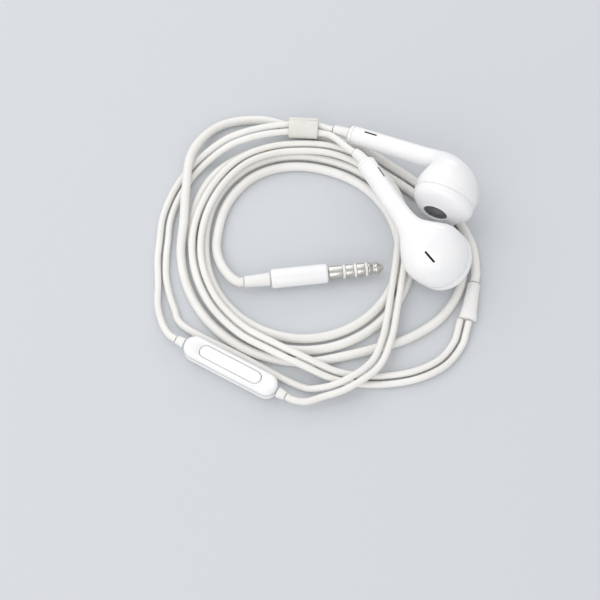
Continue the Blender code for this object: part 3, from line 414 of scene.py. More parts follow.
def reliefStations(matrix, bend, steps):
    # the strain relief's path out of the stem's end: place, direction, run from the stem's end
    top = Vector((stem["axisX"], 0, stem["endZ"]))
    target = matrix.inverted() @ (sliderCentre + planWay(90) * slider["arcRadius"])
    towards = target - top
    towards.z = 0
    towards.normalize()
    out = Vector((0, 0, -1))
    start = 2 * layout["partGap"] + relief["capThickness"]
    runs = (-relief["flangeInset"] - relief["flangeThickness"], -relief["flangeInset"], start)
    stations = [(top + out * run, out.copy(), run) for run in runs]
    turn = radians(bend)
    # the solid bends in four steps; the finer path here follows the same arc
    coarse = 4
    places = [stations[-1][0]]
    for step in range(1, coarse + 1):
        middle = turn * (step - 0.5) / coarse
        heading = out * cos(middle) + towards * sin(middle)
        places.append(places[-1] + heading * relief["length"] / coarse)
    fine = smoothRows([tuple(place) for place in places], steps // coarse)
    for index in range(1, len(fine)):
        share = index / (len(fine) - 1)
        ahead = out * cos(turn * share) + towards * sin(turn * share)
        stations.append((Vector(fine[index]), ahead, start + relief["length"] * share))
    return stations


matrices = {name: earpieceMatrix(facts) for name, facts in earpieces.items()}
stationsOf = {name: reliefStations(matrices[name], facts["bend"], 16)
              for name, facts in earpieces.items()}
print("earpieces placed")


cordPoint = {"step": 1.1, "sides": 20, "easedPoints": 34, "easedPasses": 8}
leg = {"diameter": 1.7, "pitch": 2.2}
plug = {"x": -20.5, "y": -10.0, "heading": 6.5, "lift": 0.05, "reliefLength": 6.5, "reliefRadius": 1.7,
        "barrelLength": 14.5, "barrelRadius": 2.5, "jackRadius": 1.75, "jackLength": 14.0,
        "jackBore": 0.9, "ringLength": 2.0, "insulatorLength": 0.7, "contactGap": 0.08, "tipLength": 4.0,
        "reliefTip": 0.25, "barrelCorner": 0.4, "tipSeat": 0.3, "tipEnd": 0.5,
        # the tip is rows of (radius, height over its base)
        "tipShape": ((1.6, 2.3), (1.6, 2.0), (1.15, 1.3), (1.7, 0.5), (1.7, 0))}
splitter = {"length": 10.0, "mainRadius": 1.6, "middleWidth": 3.9, "middleHeight": 2.9,
            "legsWidth": 4.6, "legsHeight": 2.7, "height": 1.65, "rimSoftening": 0.25, "endSoftening": 0.7}
remote = {"length": 26.0, "width": 5.8, "height": 4.5, "wall": 0.6, "floor": 0.7, "split": 2.1,
          "lift": 0.05, "x": -23.55, "y": -33.25, "heading": 151.05, "reliefLength": 2.2,
          "buttonLength": 17.0, "buttonWidth": 3.2, "buttonProud": 0.1, "flange": 0.4,
          "flangeThickness": 0.35, "flangeDrop": 0.5, "cornerRound": 1.0, "seamRound": 0.08,
          "buttonRound": 0.3, "holeRound": 0.06, "holeRoundDrop": 0.07, "reliefTip": 0.2, "reliefRoot": 0.5,
          "dish": ((0.7, 0.03), (1.2, 0.07))}  # the button's dish is rows of (in from its edge, down)
remoteMiddle = remote["lift"] + remote["split"] + layout["partGap"] / 2
# the routes' points are listed: x, y and height; the two legs run side by side along them
windingRoute = (
    (35.0, -20.3, 1.5), (33.6, -25.5, 1.2), (29.5, -31.0, 0.9), (23.0, -34.5, 0.92),
    (15.5, -36.0, 0.92), (8.5, -36.0, 0.95), (2.0, -35.0, 1.8), (-5.0, -32.3, 3.5),
    (-13.0, -28.2, 3.4), (-21.0, -23.6, 3.4), (-27.8, -16.5, 3.4), (-31.8, -8.0, 3.4),
    (-33.0, 0.5, 3.4), (-31.6, 9.5, 3.4), (-27.6, 18.0, 3.4), (-21.5, 24.6, 3.4),
    (-14.0, 27.9, 3.4), (-6.0, 28.8, 3.4), (2.0, 28.0, 3.4), (9.5, 24.7, 3.4),
    (15.6, 19.0, 3.4), (19.2, 11.5, 3.4), (20.0, 4.0, 3.4), (19.2, -4.0, 3.4),
    (18.0, -11.5, 3.4), (16.8, -18.5, 3.4), (15.2, -26.0, 3.4), (12.0, -33.0, 3.6),
    (5.0, -38.0, 3.4),
)
besideRemoteRoute = (
    (-2.0, -39.6, 1.8), (-8.0, -38.2, 0.92), (-22.0, -30.45, 0.92), (-36.0, -22.7, 0.92),
    (-39.3, -17.0, 0.92),
)
outerRoute = (
    (-41.5, -9.5, 0.92), (-41.9, -3.0, 0.92), (-41.6, 2.6, 0.92), (-41.2, 8.3, 0.92),
    (-39.7, 13.8, 0.92), (-37.3, 19.0, 0.92), (-34.0, 23.7, 1.2), (-29.6, 27.6, 2.5),
    (-25.2, 30.3, 3.7),
)
toRemoteRoute = ((-1.0, -41.0, 2.3), (-5.0, -42.2, 2.3))
fromRemoteRoute = ((-40.9, -21.5, 1.8), (-42.4, -16.0, 1.0))
leftEndRoute = ((1.9, 31.3, 5.1),)
tailRoute = ((-28.0, 0.5, 1.3), (-27.2, -4.0, 1.8), (-24.6, -8.2, 2.4))


def easing(share):
    share = min(1.0, max(0.0, share))
    return share * share * (3 - 2 * share)


def ringPoint(angle):
    turned = angle - mainCord["startAngle"]
    left = 360 * mainCord["loops"] - turned
    radius = mainCord["radius"] - mainCord["pitch"] * turned / 360
    for middle, reach, amount in mainCord["spreads"]:
        away = abs(angle - middle)
        if away < reach:
            radius += amount * cos(pi / 2 * away / reach) ** 2
    height = mainFlat
    ease = mainCord["easeAngle"]
    if turned < ease:
        height = splitter["height"] + (mainFlat - splitter["height"]) * easing(turned / ease)
    if left < ease:
        tailHeight = mainCord["diameter"] / 2 + mainCord["tailLift"]
        height = tailHeight + (mainFlat - tailHeight) * easing(left / ease)
    rise, top, drop, end = mainCord["humpAngles"]
    if rise < angle < end:
        share = easing((angle - rise) / (top - rise)) * easing((end - angle) / (end - drop))
        height = mainFlat + (mainCord["humpHeight"] - mainFlat) * share
    return Vector((mainCord["ringX"], mainCord["ringY"], height)) + planWay(angle) * radius


def sideways(route, amount):
    route = np.array(route, float)
    ahead = np.gradient(route, axis=0)
    ahead[:, 2] = 0
    ahead /= np.linalg.norm(ahead, axis=1)[:, None]
    left = np.stack([-ahead[:, 1], ahead[:, 0], 0 * ahead[:, 0]], axis=1)
    return [tuple(point) for point in route + amount * left]


def legArc(radius):
    # the legs' arc through the slider, as far as it travels
    half = degrees(slider["length"] / 2 / slider["arcRadius"]) + slider["arcBeyond"]
    first = slider["restAngle"] + slider["travel"] + half
    last = slider["restAngle"] - half
    return [tuple(sliderCentre + planWay(first + (last - first) * index / 6) * radius)
            for index in range(7)]


def evenLine(route):
    # points at an even step on a smooth line through the route, which starts with a straight stretch
    count = 24
    fine = smoothRows(route, count)
    fine[1:count] = fine[0] + (fine[count] - fine[0]) * (np.arange(1, count) / count)[:, None]
    run = np.concatenate([[0], np.cumsum(np.linalg.norm(np.diff(fine, axis=0), axis=1))])
    marks = np.linspace(0, run[-1], round(run[-1] / cordPoint["step"]) + 1)
    return np.stack([np.interp(marks, run, fine[:, axis]) for axis in range(3)], axis=1)


def easeTail(points):
    # the tail's corners relax, as a soft cord's do, and its end stays in line with the plug
    points[-2] = points[-1] - np.array(planWay(plug["heading"])) * cordPoint["step"]
    first = len(points) - cordPoint["easedPoints"]
    for turn in range(cordPoint["easedPasses"]):
        points[first:-2] = (points[first - 1:-3] + 2 * points[first:-2] + points[first + 1:-1]) / 4


def cordPiece(name, points, diameter):
    # a round tube, pressed flat where it rests on the table
    ahead = np.gradient(points, axis=0)
    ahead /= np.linalg.norm(ahead, axis=1)[:, None]
    rings = []
    for point, way in zip(points, ahead):
        across = np.cross((0, 0, 1), way)
        across /= np.linalg.norm(across)
        over = np.cross(way, across)
        spots = [point + x * across + y * over
                 for x, y, z in oval(diameter / 2, diameter / 2, 0, cordPoint["sides"])]
        rings.append([(x, y, max(z, 0.0)) for x, y, z in spots])
    return meshPiece(name, rings, Matrix.Identity(4), "cord", "closed", 60)


def lengthOf(points):
    return float(np.linalg.norm(np.diff(points, axis=0), axis=1).sum()) * mm


def mainCordLine():
    # the ring's turns, then the tail; the stretches next to the splitter and the plug are straight
    start = mainCord["startAngle"]
    end = start + 360 * mainCord["loops"]
    count = round(mainCord["loops"] * mainCord["pointsPerLoop"])
    coil = [ringPoint(start + 360 * index / mainCord["pointsPerLoop"]) for index in range(count + 1)]
    ahead = (ringPoint(start + 1) - coil[0]).normalized()
    ahead.z = 0
    last = (coil[-1] - ringPoint(end - 1)).normalized()
    reach = mainCord["diameter"]
    into = planWay(plug["heading"])
    plugEnd = Vector((plug["x"], plug["y"], plug["barrelRadius"] + plug["lift"])) - into * layout["partGap"]
    line = [coil[0], coil[0] + ahead * reach, *coil[1:], coil[-1] + last * reach,
            coil[-1] + last * (2 * reach + layout["partGap"]), *tailRoute, plugEnd - into * reach, plugEnd]
    return [tuple(point) for point in line], ahead


def mouthPoints(name):
    place, ahead = stationsOf[name][-1][:2]
    spot = matrices[name] @ place
    way = (matrices[name].to_3x3() @ ahead).normalized()
    gap = layout["partGap"]
    return [tuple(spot + way * (gap + leg["diameter"])), tuple(spot + way * gap)]


cordFacts = {
    "main": {"name": "main_cord", "diameter": mainCord["diameter"], "exit": 0, "farEnd": "plug",
             "nodes": ("main_cord_coil", "main_cord_tail")},
    "left": {"name": "left_leg", "diameter": leg["diameter"], "exit": -1, "farEnd": "fitting",
             "nodes": ("left_leg_cord",)},
    "lower": {"name": "right_leg_lower", "diameter": leg["diameter"], "exit": 0, "farEnd": "fitting",
              "nodes": ("right_leg_lower_cord",)},
    "upper": {"name": "right_leg_upper", "diameter": leg["diameter"], "exit": -1, "farEnd": "object",
              "nodes": ("right_leg_upper_cord",)},
}


def makeCords():
    line, ahead = mainCordLine()
    half = leg["pitch"] / 2
    pair = [*windingRoute, *besideRemoteRoute, *outerRoute]
    leftSide, rightSide = sideways(pair, -half), sideways(pair, half)
    along = planWay(remote["heading"])
    middle = Vector((remote["x"], remote["y"], remoteMiddle))
    near = remote["length"] / 2 + 2 * layout["partGap"] + remote["reliefLength"]
    far = near + leg["diameter"]
    routes = {
        "main": line,
        "left": [*leftSide, *legArc(slider["arcRadius"] - half), *leftEndRoute, *mouthPoints("left")],
        "lower": [*rightSide[:len(windingRoute)], *toRemoteRoute, tuple(middle - along * far),
                  tuple(middle - along * near)],
        "upper": [tuple(middle + along * near), tuple(middle + along * far), *fromRemoteRoute,
                  *rightSide[-len(outerRoute):], *legArc(slider["arcRadius"] + half),
                  *mouthPoints("right")],
    }
    lines = {key: evenLine(route) for key, route in routes.items()}
    easeTail(lines["main"])
    pieces = {}
    for key, facts in cordFacts.items():
        piece = cordPiece(facts["name"], lines[key], facts["diameter"])
        pieces[key] = finishPiece(piece, facts["nodes"])
    return lines, pieces, ahead


cordLines, cordPieces, mainAhead = makeCords()
print("cords laid:", {key: round(lengthOf(line), 3) for key, line in cordLines.items()}, "m")


shell = {"sides": 96, "seamRound": 0.09, "seamReach": 1.2, "sharpAngle": 38, "lipInset": 0.12,
         "rearSteps": (4, 4, 6, 6, 6, 6, 6, 6, 6, 5), "frontSteps": (4, 6, 6, 6, 6)}
# a slot's row counts from the stem's end along the rear shell, its angle goes round the shell
slot = {"width": 0.6, "sides": 24, "cutReach": 1.2, "clothBase": 0.65, "clothClear": 0.02,
        "rear": {"row": 53, "angle": 181, "length": 3.6, "clothDepth": 0.34},
        "stem": {"angle": 110, "length": 3.7, "clothDepth": 0.12}}
# the wires are drawn coarser than real cloth's, so that they show; the lip is rows of (in from the
# port's edge, forward of it)
port = {"recess": 0.22, "thickness": 0.3, "backing": 0.1, "inset": 0.1, "clear": 0.02, "sides": 64,
        "wirePitch": 0.28, "wireThickness": 0.13, "wirePoints": 40, "wireSides": 6, "wireSwing": 1.1,
        "lip": ((-0.28, -0.07), (-0.24, -0.01), (-0.17, 0.05), (-0.08, 0.07), (0.0, 0.04), (0.06, -0.02),
                (0.09, -0.12))}


def refined(rows, steps, roundedEnd):
    # extra rows draw in the edge at the start, and at the end where asked, so that the rim catches light
    edge = shell["seamRound"]

    def drawnIn(row, beyond, share):
        # share 0 is where the rounding starts, 1 is the very end
        ahead = row - beyond
        back = (1 - share) * edge * shell["seamReach"]
        moved = row - ahead / (abs(ahead[0]) + abs(ahead[1])) * back
        inset = edge * (1 - sqrt(1 - share * share))
        middle = (moved[:2] + moved[2:4]) / 2
        half = moved[:2] - middle
        half *= 1 - inset / np.linalg.norm(half)
        return np.array([*(middle + half), *(middle - half), moved[4] - inset, *moved[5:]])

    result = list(smoothRows(rows, steps))
    shares = (0, 0.4, 0.7, 0.9, 1)
    if roundedEnd:
        result[-1:] = [drawnIn(result[-1], result[-2], share) for share in shares]
    result[:1] = [drawnIn(result[0], result[1], share) for share in reversed(shares)]
    return result


def shellFrame(facts, side):
    # a frame on the rear shell: x along the shell, z out of it
    row, beyond = smoothRows(rearRings, 8)[facts["row"]:facts["row"] + 2]

    def at(ring, around):
        middle = Vector(((ring[0] + ring[2]) / 2, 0, (ring[1] + ring[3]) / 2))
        half = Vector(((ring[0] - ring[2]) / 2, 0, (ring[1] - ring[3]) / 2))
        return middle + half * cos(around) + Vector((0, ring[4], 0)) * sin(around)

    around = radians(facts["angle"]) * side
    place = at(row, around)
    along = (at(beyond, around) - place).normalized()
    across = (at(row, around + 0.01) - place).normalized()
    out = along.cross(across).normalized()
    if out.dot(place - at(row, around + pi)) < 0:
        out = -out
    return frameAt(place, along, out)


def stemFrame(facts, side):
    # the same on the straight stem, at its slot
    out = planWay(facts["angle"] * side)
    place = Vector((stem["axisX"], 0, stem["endZ"] + stem["slotFromEnd"])) + out * stemRadius
    return frameAt(place, up, out)


def makeShells(name, side, place):
    sides, wallThickness = shell["sides"], stem["wall"]
    rear = refined(rearRings, shell["rearSteps"], True)
    front = refined(frontRings, shell["frontSteps"], False)
    rearPiece = meshPiece(name + "_rear_shell_skin", [ellipseRing(row, side, sides) for row in rear],
                          place, "shell")
    wall = rearPiece.modifiers.new("wall", "SOLIDIFY")
    wall.thickness = wallThickness * mm
    wall.offset = -1
    wall.use_even_offset = True
    # the front skin rises to a small lip round the port, runs down it and comes back inside to the seam
    rings = [ellipseRing(row, side, sides) for row in front[:-1]]
    for inset, forward in (*port["lip"], (port["inset"], -wallThickness)):
        rings.append(ellipseRing(front[-1], side, sides, inset, forward))
    inner = smoothRows(frontRings, 3)
    for index in range(len(inner) - 2, -1, -1):
        share = index / (len(inner) - 1)
        inset = wallThickness * (1 - share) + shell["lipInset"] * share
        rings.append(ellipseRing(inner[index], side, sides, inset, -wallThickness * share))
    frontPiece = meshPiece(name + "_front_shell_skin", rings, place, "shell", "joined",
                           shell["sharpAngle"])
    cutters = []
    clear = slot["clothClear"]
    for key, onShell in (("rear", shellFrame(slot["rear"], side)), ("stem", stemFrame(slot["stem"], side))):
        spot = place @ onShell
        length, width = slot[key]["length"], slot["width"]
        rings = [stadium(length, width, height, slot["sides"])
                 for height in (-slot["cutReach"], slot["cutReach"])]
        cutters.append(meshPiece(name + "_slot_cutter", rings, spot, "shell", "closed"))
        # black cloth fills the slot to just under the surface
        rings = [stadium(length - clear, width - clear, height, slot["sides"])
                 for height in (-slot["clothBase"], -slot[key]["clothDepth"])]
        cloth = meshPiece(f"{name}_{key}_slot_cloth", rings, spot, "slotMesh", "closed")
        finishPiece(cloth)
    cutBy(rearPiece, cutters, shell["sharpAngle"])
    finishPiece(rearPiece, (name + "_rear_shell",))
    finishPiece(frontPiece, (name + "_front_shell",))


def wireClothTree():
    # a flat oval of crossed wires: parallel lines cut to the oval's width, each waved over and under
    tree = bpy.data.node_groups.new("wire cloth", "GeometryNodeTree")
    for label in ("Half Length", "Half Width", "Wire Pitch", "Wire Radius"):
        tree.interface.new_socket(label, in_out="INPUT", socket_type="NodeSocketFloat")
    tree.interface.new_socket("Finish", in_out="INPUT", socket_type="NodeSocketMaterial")
    tree.interface.new_socket("Geometry", in_out="OUTPUT", socket_type="NodeSocketGeometry")
    given = addNode(tree, "NodeGroupInput")
    pitch, radius = (given, "Wire Pitch"), (given, "Wire Radius")

    def family(along, across, halfLength, halfWidth, swing):
        # wires that run along one axis, spaced over the other half size
        position = addNode(tree, "GeometryNodeInputPosition")
        parts = addNode(tree, "ShaderNodeSeparateXYZ", {"Vector": position})
        # each sum is a name, an operation and one or two terms: a number, a sum or a node's output
        sumRows = (
            ("span", "MULTIPLY", halfWidth, 2.0),
            ("pitches", "DIVIDE", "span", pitch),
            ("count", "FLOOR", "pitches"),
            ("low", "MULTIPLY", halfWidth, -1.0),
            ("share", "DIVIDE", (parts, across), halfWidth),
            ("square", "MULTIPLY", "share", "share"),
            ("rest", "SUBTRACT", 1.0, "square"),
            ("inside", "MAXIMUM", "rest", 0.0),
            ("root", "SQRT", "inside"),
            ("reach", "MULTIPLY", "root", halfLength),
            ("turn", "DIVIDE", pi, pitch),
            ("turnX", "MULTIPLY", (parts, "X"), "turn"),
            ("turnY", "MULTIPLY", (parts, "Y"), "turn"),
            ("waveX", "SINE", "turnX"),
            ("waveY", "COSINE", "turnY"),
            ("wave", "MULTIPLY", "waveX", "waveY"),
            ("height", "MULTIPLY", "wave", radius),
            ("lift", "MULTIPLY", "height", swing),
        )
        sums = {}
        for name, operation, *terms in sumRows:
            terms = {index: sums.get(term, term) for index, term in enumerate(terms)}
            sums[name] = addNode(tree, "ShaderNodeMath", {"operation": operation, **terms})
        low = addNode(tree, "ShaderNodeCombineXYZ", {across: sums["low"]})
        step = addNode(tree, "ShaderNodeCombineXYZ", {across: pitch})
        line = addNode(tree, "GeometryNodeMeshLine",
                       {"mode": "OFFSET", "Count": sums["count"], "Start Location": low, "Offset": step})
        end = Vector((along == "X", along == "Y", 0))
        wire = addNode(tree, "GeometryNodeCurvePrimitiveLine", {"Start": -end, "End": end})
        bent = addNode(tree, "GeometryNodeResampleCurve", {"Count": port["wirePoints"], "Curve": wire})
        size = addNode(tree, "ShaderNodeCombineXYZ", {"X": 1.0, "Y": 1.0, "Z": 1.0, along: sums["reach"]})
        copies = addNode(tree, "GeometryNodeInstanceOnPoints",
                         {"Points": line, "Instance": bent, "Scale": size})
        real = addNode(tree, "GeometryNodeRealizeInstances", {"Geometry": copies})
        move = addNode(tree, "ShaderNodeCombineXYZ", {"Z": sums["lift"]})
        waved = addNode(tree, "GeometryNodeSetPosition", {"Geometry": real, "Offset": move})
        section = addNode(tree, "GeometryNodeCurvePrimitiveCircle",
                          {"Resolution": port["wireSides"], "Radius": radius})
        return addNode(tree, "GeometryNodeCurveToMesh",
                       {"Fill Caps": True, "Curve": waved, "Profile Curve": section})

    joined = addNode(tree, "GeometryNodeJoinGeometry")
    halves = [(given, "Half Length"), (given, "Half Width")]
    swing = port["wireSwing"]
    for wires in (family("X", "Y", *halves, swing), family("Y", "X", *reversed(halves), -swing)):
        tree.links.new(wires.outputs[0], joined.inputs[0])
    real = addNode(tree, "GeometryNodeRealizeInstances", {"Geometry": joined})
    dressed = addNode(tree, "GeometryNodeSetMaterial", {"Geometry": real, "Material": (given, "Finish")})
    addNode(tree, "NodeGroupOutput", {"Geometry": dressed})
    return tree


def makePortMesh(name, side, place, tree):
    sides = port["sides"]
    back = ellipseRing(frontRings[-1], side, sides, port["inset"], -port["recess"] - port["thickness"])
    middle = sum(back, Vector()) / sides
    lengthAxis, widthAxis = back[0] - middle, back[sides // 4] - middle
    out = lengthAxis.cross(widthAxis).normalized()
    if out.x < 0:
        out = -out
    spot = place @ frameAt(middle, lengthAxis.normalized(), out)
    halfLength, halfWidth = lengthAxis.length - port["clear"], widthAxis.length - port["clear"]
    # a dark backing plate with the wire cloth stretched over it
    rings = [oval(halfLength, halfWidth, height, sides) for height in (0.0, port["backing"])]
    backing = meshPiece(name + "_port_backing", rings, spot, "slotMesh", "closed")
    finishPiece(backing)
    piece = newObject(name + "_port_cloth", bpy.data.meshes.new(name + "_port_cloth"))
    cloth = piece.modifiers.new("cloth", "NODES")
    cloth.node_group = tree
    values = {"Half Length": halfLength, "Half Width": halfWidth, "Wire Pitch": port["wirePitch"],
              "Wire Radius": port["wireThickness"] / 2, "Finish": finishes["portMesh"]}
    for item in tree.interface.items_tree:
        if item.in_out == "INPUT":
            cloth[item.identifier] = values[item.name]
    applied(piece)
    above = Matrix.Translation((0, 0, port["thickness"] - port["backing"]))
    piece.data.transform(Matrix.Scale(mm, 4) @ Matrix.Translation(shift) @ spot @ above)
    piece.data.shade_smooth()
    finishPiece(piece, (name + "_port_mesh",))


def makeStemEnd(name, place):
    axis = place @ Matrix.Translation((stem["axisX"], 0, 0))
    base = stem["endZ"] - layout["partGap"] - relief["capThickness"]
    top = stem["endZ"] - seamGap
    hole = relief["neckRadius"] + layout["fitGap"]
    profile = ((stemRadius, top), (stemRadius, base + relief["capChamfer"]),
               (stemRadius - relief["capChamfer"], base), (hole, base), (hole, top))
    cap = turnedPiece(name + "_stem_cap_skin", profile, axis, "shell", edge=relief["capEdge"])
    finishPiece(cap, (name + "_stem_cap",))
    stations = stationsOf[name]
    flangeIn, flangeOut, root, *sleeve = stations
    edge = relief["edge"]

    def across(station, radius, ahead=0.0):
        spot, way = station[:2]
        first = way.cross(Vector((1, 0.3, 0))).normalized()
        second = way.cross(first).normalized()
        return [spot + way * ahead + first * x + second * y for x, y, z in oval(radius, radius, 0, 48)]

    flange, neck = relief["flangeRadius"], relief["neckRadius"]
    rootRadius, mouthRadius = relief["rootRadius"], relief["mouthRadius"]
    rings = [across(flangeIn, flange), across(flangeOut, flange), across(flangeOut, neck),
             across(root, neck), across(root, rootRadius - edge),
             across(root, rootRadius, relief["rootEdge"])]
    mouth = sleeve.pop()
    for station in sleeve:
        share = (station[2] - root[2]) / relief["length"]
        rings.append(across(station, rootRadius + (mouthRadius - rootRadius) * share))
    rings += [across(mouth, mouthRadius, -edge), across(mouth, mouthRadius - edge)]
    rings += [across(station, relief["bore"]) for station in reversed(stations)]
    piece = meshPiece(name + "_strain_relief_skin", rings, place, "relief", "joined")
    finishPiece(piece, (name + "_strain_relief",))


clothTree = wireClothTree()
for earName, earFacts in earpieces.items():
    makeShells(earName, earFacts["side"], matrices[earName])
    makePortMesh(earName, earFacts["side"], matrices[earName], clothTree)
    makeStemEnd(earName, matrices[earName])
print("earpieces dressed")


def sliderSection(along, inset):
    # a rectangle with well-rounded corners, so that the sleeve's front rolls over softly
    radius = min(slider["cornerRound"], slider["height"] / 2 - inset - slider["sideFlat"])
    reachY = slider["width"] / 2 - inset - radius
    reachZ = slider["height"] / 2 - inset - radius
    points = []
    for signY, signZ, start in ((1, 1, 0), (-1, 1, 90), (-1, -1, 180), (1, -1, 270)):
        for step in range(9):
            angle = radians(start + 90 * step / 8)
            points.append((along, signY * reachY + radius * cos(angle),
                           signZ * reachZ + radius * sin(angle)))
    return points


def makeSlider():
    middle = sliderCentre + planWay(slider["restAngle"]) * slider["arcRadius"]
    place = frameAt(middle, planWay(slider["restAngle"] + 90), up)
    turns = range(0, 91, 15)
    sections = []
    for sign, turn in [(-1, turn) for turn in turns] + [(1, turn) for turn in reversed(turns)]:
        inset = slider["endRound"] * (1 - sin(radians(turn)))
        back = slider["endRound"] * (1 - cos(radians(turn)))
        sections.append(sliderSection(sign * (slider["length"] / 2 - back), inset))
    piece = meshPiece("slider_skin", sections, place, "slider", "closed")
    half = degrees(slider["length"] / 2 / slider["arcRadius"]) + slider["channelBeyond"]
    clear = 2 * layout["runGap"]
    section = stadium(leg["pitch"] + leg["diameter"] + clear, leg["diameter"] + clear, 0, 40)
    rings = []
    for step in range(13):
        outward = planWay(slider["restAngle"] + half * (step / 6 - 1))
        rings.append([sliderCentre + outward * (slider["arcRadius"] + x) + up * y for x, y, z in section])
    channel = meshPiece("slider_channel", rings, Matrix.Identity(4), "slider", "closed")
    # a fine moulded line runs along the top, near the outer edge
    track = slider["lineInset"] - slider["width"] / 2
    reach, depth = slider["lineHalfWidth"], slider["lineDepth"]
    rings = [[(sign * slider["length"], track + y, slider["height"] / 2 + z) for y, z in
              ((reach, depth), (-reach, depth), (-reach, -depth), (reach, -depth))] for sign in (-1, 1)]
    line = meshPiece("slider_line", rings, place, "slider", "closed")
    cutBy(piece, [channel, line], 40)
    return finishPiece(piece, ("slider",), "slider")


sliderPiece = makeSlider()
print("slider made")


def makeSplitter():
    start = Vector(cordLines["main"][0])
    place = frameAt(start - mainAhead * layout["partGap"], mainAhead.cross(up), -mainAhead)
    drop = windingRoute[0][2] - splitter["height"]
    small = 2 * splitter["mainRadius"]
    wide, flat = splitter["legsWidth"], splitter["legsHeight"]
    rim, end = splitter["rimSoftening"], splitter["endSoftening"]
    # share of the length, width, height: round by the main cord, wide by the legs, both ends rounded
    sections = ((0, small - end, small - end), (0.012, small - rim, small - rim), (0.04, small, small),
                (0.35, small + 0.2, small - 0.1), (0.7, splitter["middleWidth"], splitter["middleHeight"]),
                (0.96, wide, flat), (0.99, wide - rim, flat - rim), (1, wide - end, flat - end))
    rings = [[(x, y + drop * share, splitter["length"] * share)
              for x, y, z in oval(width / 2, height / 2, 0, 56)] for share, width, height in sections]
    piece = meshPiece("splitter_skin", rings, place, "relief", "closed")
    return finishPiece(piece, ("splitter",))


splitterPiece = makeSplitter()
print("splitter made")


def rim(size, inward, height):
    # a profile's row: a stadium inward of a length and width, at a height
    return size[0] - 2 * inward, size[1] - 2 * inward, height


def quarter(size, inset, startHeight, endHeight):
    # a quarter-round from the straight wall in to the flat face
    rise = endHeight - startHeight
    return [rim(size, inset * (1 - cos(radians(turn))), startHeight + rise * sin(radians(turn)))
            for turn in range(0, 91, 15)]


def makeRemote():
    place = frameAt((remote["x"], remote["y"], remote["lift"]), planWay(remote["heading"]), up)
    outer = (remote["length"], remote["width"])
    split, top, wall, gap = remote["split"], remote["height"], remote["wall"], layout["partGap"]
    edge, corner = remote["seamRound"], remote["cornerRound"]
    rear = [*reversed(quarter(outer, corner, corner, 0.0)), rim(outer, 0, split - edge),
            rim(outer, edge, split), rim(outer, wall, split), rim(outer, wall, remote["floor"])]
    button = (remote["buttonLength"], remote["buttonWidth"])
    hole, ceiling = -layout["fitGap"], top - remote["floor"]
    base = split + gap
    front = [rim(outer, wall, base), rim(outer, edge, base), rim(outer, 0, base + edge),
             *quarter(outer, corner, top - corner, top), rim(button, hole - remote["holeRound"], top),
             rim(button, hole, top - remote["holeRoundDrop"]), rim(button, hole, ceiling),
             rim(outer, wall, ceiling)]
    flange, flangeTop = -remote["flange"], ceiling - remote["flangeDrop"]
    soft, face = remote["buttonRound"], top + remote["buttonProud"]
    # the rocker's face dips a little along its middle, where the thumb rests
    rocker = [rim(button, flange, flangeTop - remote["flangeThickness"]), rim(button, flange, flangeTop),
              rim(button, 0, flangeTop), *quarter(button, soft, face - soft, face),
              *[rim(button, inward, face - down) for inward, down in remote["dish"]]]
    made = []
    for part, node, profile, ends, body in (
            ("rear", "remote_rear_shell", rear, "closed", "earphones"),
            ("front", "remote_front_shell", front, "joined", "earphones"),
            ("button", "remote_button", rocker, "closed", "button")):
        rings = [stadium(*row) for row in profile]
        piece = meshPiece(f"remote_{part}_skin", rings, place, "shell", ends, 50)
        made.append(finishPiece(piece, (node,), body))
    tall, legRadius = remote["reliefLength"], leg["diameter"] / 2
    profile = ((0, tall), (legRadius + remote["reliefTip"], tall), (legRadius + remote["reliefRoot"], 0),
               (0, 0))
    reach = outer[0] / 2 + gap
    for name, sign in (("remote_upper_relief", 1), ("remote_lower_relief", -1)):
        spot = place @ Matrix.Translation((sign * reach, 0, remoteMiddle - remote["lift"]))
        spot = spot @ Matrix.Rotation(radians(90 * sign), 4, "Y")
        piece = turnedPiece(name + "_skin", profile, spot, "relief", 40, 0.2)
        made.append(finishPiece(piece, (name,)))
    return made


remotePieces = makeRemote()
print("remote made")


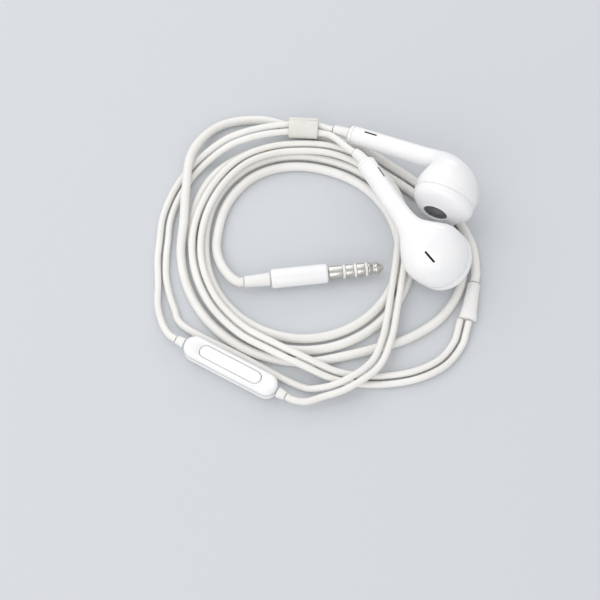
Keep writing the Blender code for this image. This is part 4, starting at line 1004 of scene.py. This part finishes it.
def makePlug():
    place = frameAt((plug["x"], plug["y"], plug["barrelRadius"] + plug["lift"]), -up,
                    planWay(plug["heading"]))
    gap, small = layout["partGap"], plug["contactGap"]
    made = []

    def add(name, profile, finish, edge):
        piece = turnedPiece(name + "_skin", profile, place, finish, 64, edge)
        made.append(finishPiece(piece, (name,)))

    length = plug["reliefLength"]
    tip = mainCord["diameter"] / 2 + plug["reliefTip"]
    add("plug_relief", ((0, length), (plug["reliefRadius"], length), (tip, 0), (0, 0)), "relief",
        0.25)
    base = length + gap
    top = base + plug["barrelLength"]
    radius, corner = plug["barrelRadius"], plug["barrelCorner"]
    add("plug_barrel", ((0, top), (radius - corner, top), (radius, top - corner), (radius, base + corner),
                        (radius - corner, base), (0, base)), "shell", 0.3)
    start = top + gap
    step = plug["insulatorLength"] + 2 * small
    sleeve = plug["jackLength"] - plug["tipLength"] - 2 * plug["ringLength"] - 3 * step
    bore = plug["jackBore"] + layout["fitGap"]
    outer = plug["jackRadius"]
    low = start
    collars = []
    for name, span in (("plug_sleeve", sleeve), ("plug_ring_rear", plug["ringLength"]),
                       ("plug_ring_front", plug["ringLength"])):
        add(name, ((outer, low + span), (outer, low), (bore, low), (bore, low + span)),
            "contact", 0.05)
        collars.append((low + span + small, low + span + small + plug["insulatorLength"]))
        low += span + step
    seat = plug["tipLength"] * plug["tipSeat"]
    end = low + plug["tipLength"]
    add("plug_tip", ((0, end), (plug["tipEnd"], end),
                     *[(wide, low + height) for wide, height in plug["tipShape"]],
                     (bore, low), (bore, low + seat), (0, low + seat)), "contact", 0.25)
    profile = [(0, low + seat - small), (plug["jackBore"], low + seat - small)]
    for bottom, above in reversed(collars):
        profile += [(plug["jackBore"], above), (outer, above), (outer, bottom), (plug["jackBore"], bottom)]
    profile += [(plug["jackBore"], start), (0, start)]
    add("plug_insulators", profile, "insulator", 0.04)
    return made


plugPieces = makePlug()
print("plug made")


# inner pieces keep their solids and get their own finish
nodeFinishes = {
    "driver_frame": "innerFrame", "driver_yoke": "steel", "driver_magnet": "magnet",
    "driver_top_plate": "steel", "voice_coil": "copper", "diaphragm": "film", "driver_gasket": "foam",
    "inner_wires": "copper", "cable_knot": "relief", "rear_slot_mesh": "slotMesh",
    "stem_slot_mesh": "slotMesh", "remote_button_carrier": "innerFrame", "remote_board": "board",
    "remote_domes": "steel", "remote_microphone": "steel",
}
for nodeName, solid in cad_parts.items():
    for ending, finishName in nodeFinishes.items():
        if nodeName.endswith(ending):
            solid.data.materials.clear()
            solid.data.materials.append(finishes[finishName])
print("inner pieces finished")


# a lamp is its power in watts, its size and its place in metres
studio = {"floorSize": 4.0, "floorColour": "CED1D5", "worldColour": "F5F5F6", "worldStrength": 0.8,
          "lamps": {"key": (1.95, (0.9, 0.8), (-0.35, 0.35, 0.6)),
                    "fill": (1.95, (0.9, 0.7), (-0.25, -0.6, 0.42)),
                    "rim": (0.7, (0.6, 0.2), (0.1, 0.7, 0.35))}}


def areaLight(name, power, size, place):
    data = bpy.data.lights.new(name, "AREA")
    data.shape = "RECTANGLE"
    data.size, data.size_y = size
    data.energy = power
    lamp = newObject(name, data)
    lamp.location = Vector(place)
    lamp.rotation_euler = (-lamp.location).to_track_quat("-Z", "Y").to_euler()


def makeStudio():
    half = studio["floorSize"] / 2
    mesh = bpy.data.meshes.new("floor")
    corners = [(-half, -half, 0), (half, -half, 0), (half, half, 0), (-half, half, 0)]
    mesh.from_pydata(corners, [], [(0, 1, 2, 3)])
    floor = newObject("floor", mesh)
    floor.location.z = -0.00002
    settings = {"Roughness": 0.75, "Base Color": linear(studio["floorColour"])}
    material, shader = startMaterial("plain pale floor", settings)
    mesh.materials.append(material)
    world = bpy.data.worlds.new("studio")
    world.use_nodes = True
    back = world.node_tree.nodes["Background"]
    back.inputs["Color"].default_value = linear(studio["worldColour"])
    back.inputs["Strength"].default_value = studio["worldStrength"]
    bpy.context.scene.world = world
    for name, (power, size, place) in studio["lamps"].items():
        areaLight(name, power, size, place)
    bpy.context.scene.view_settings.view_transform = "Standard"


makeStudio()
print("studio lit")
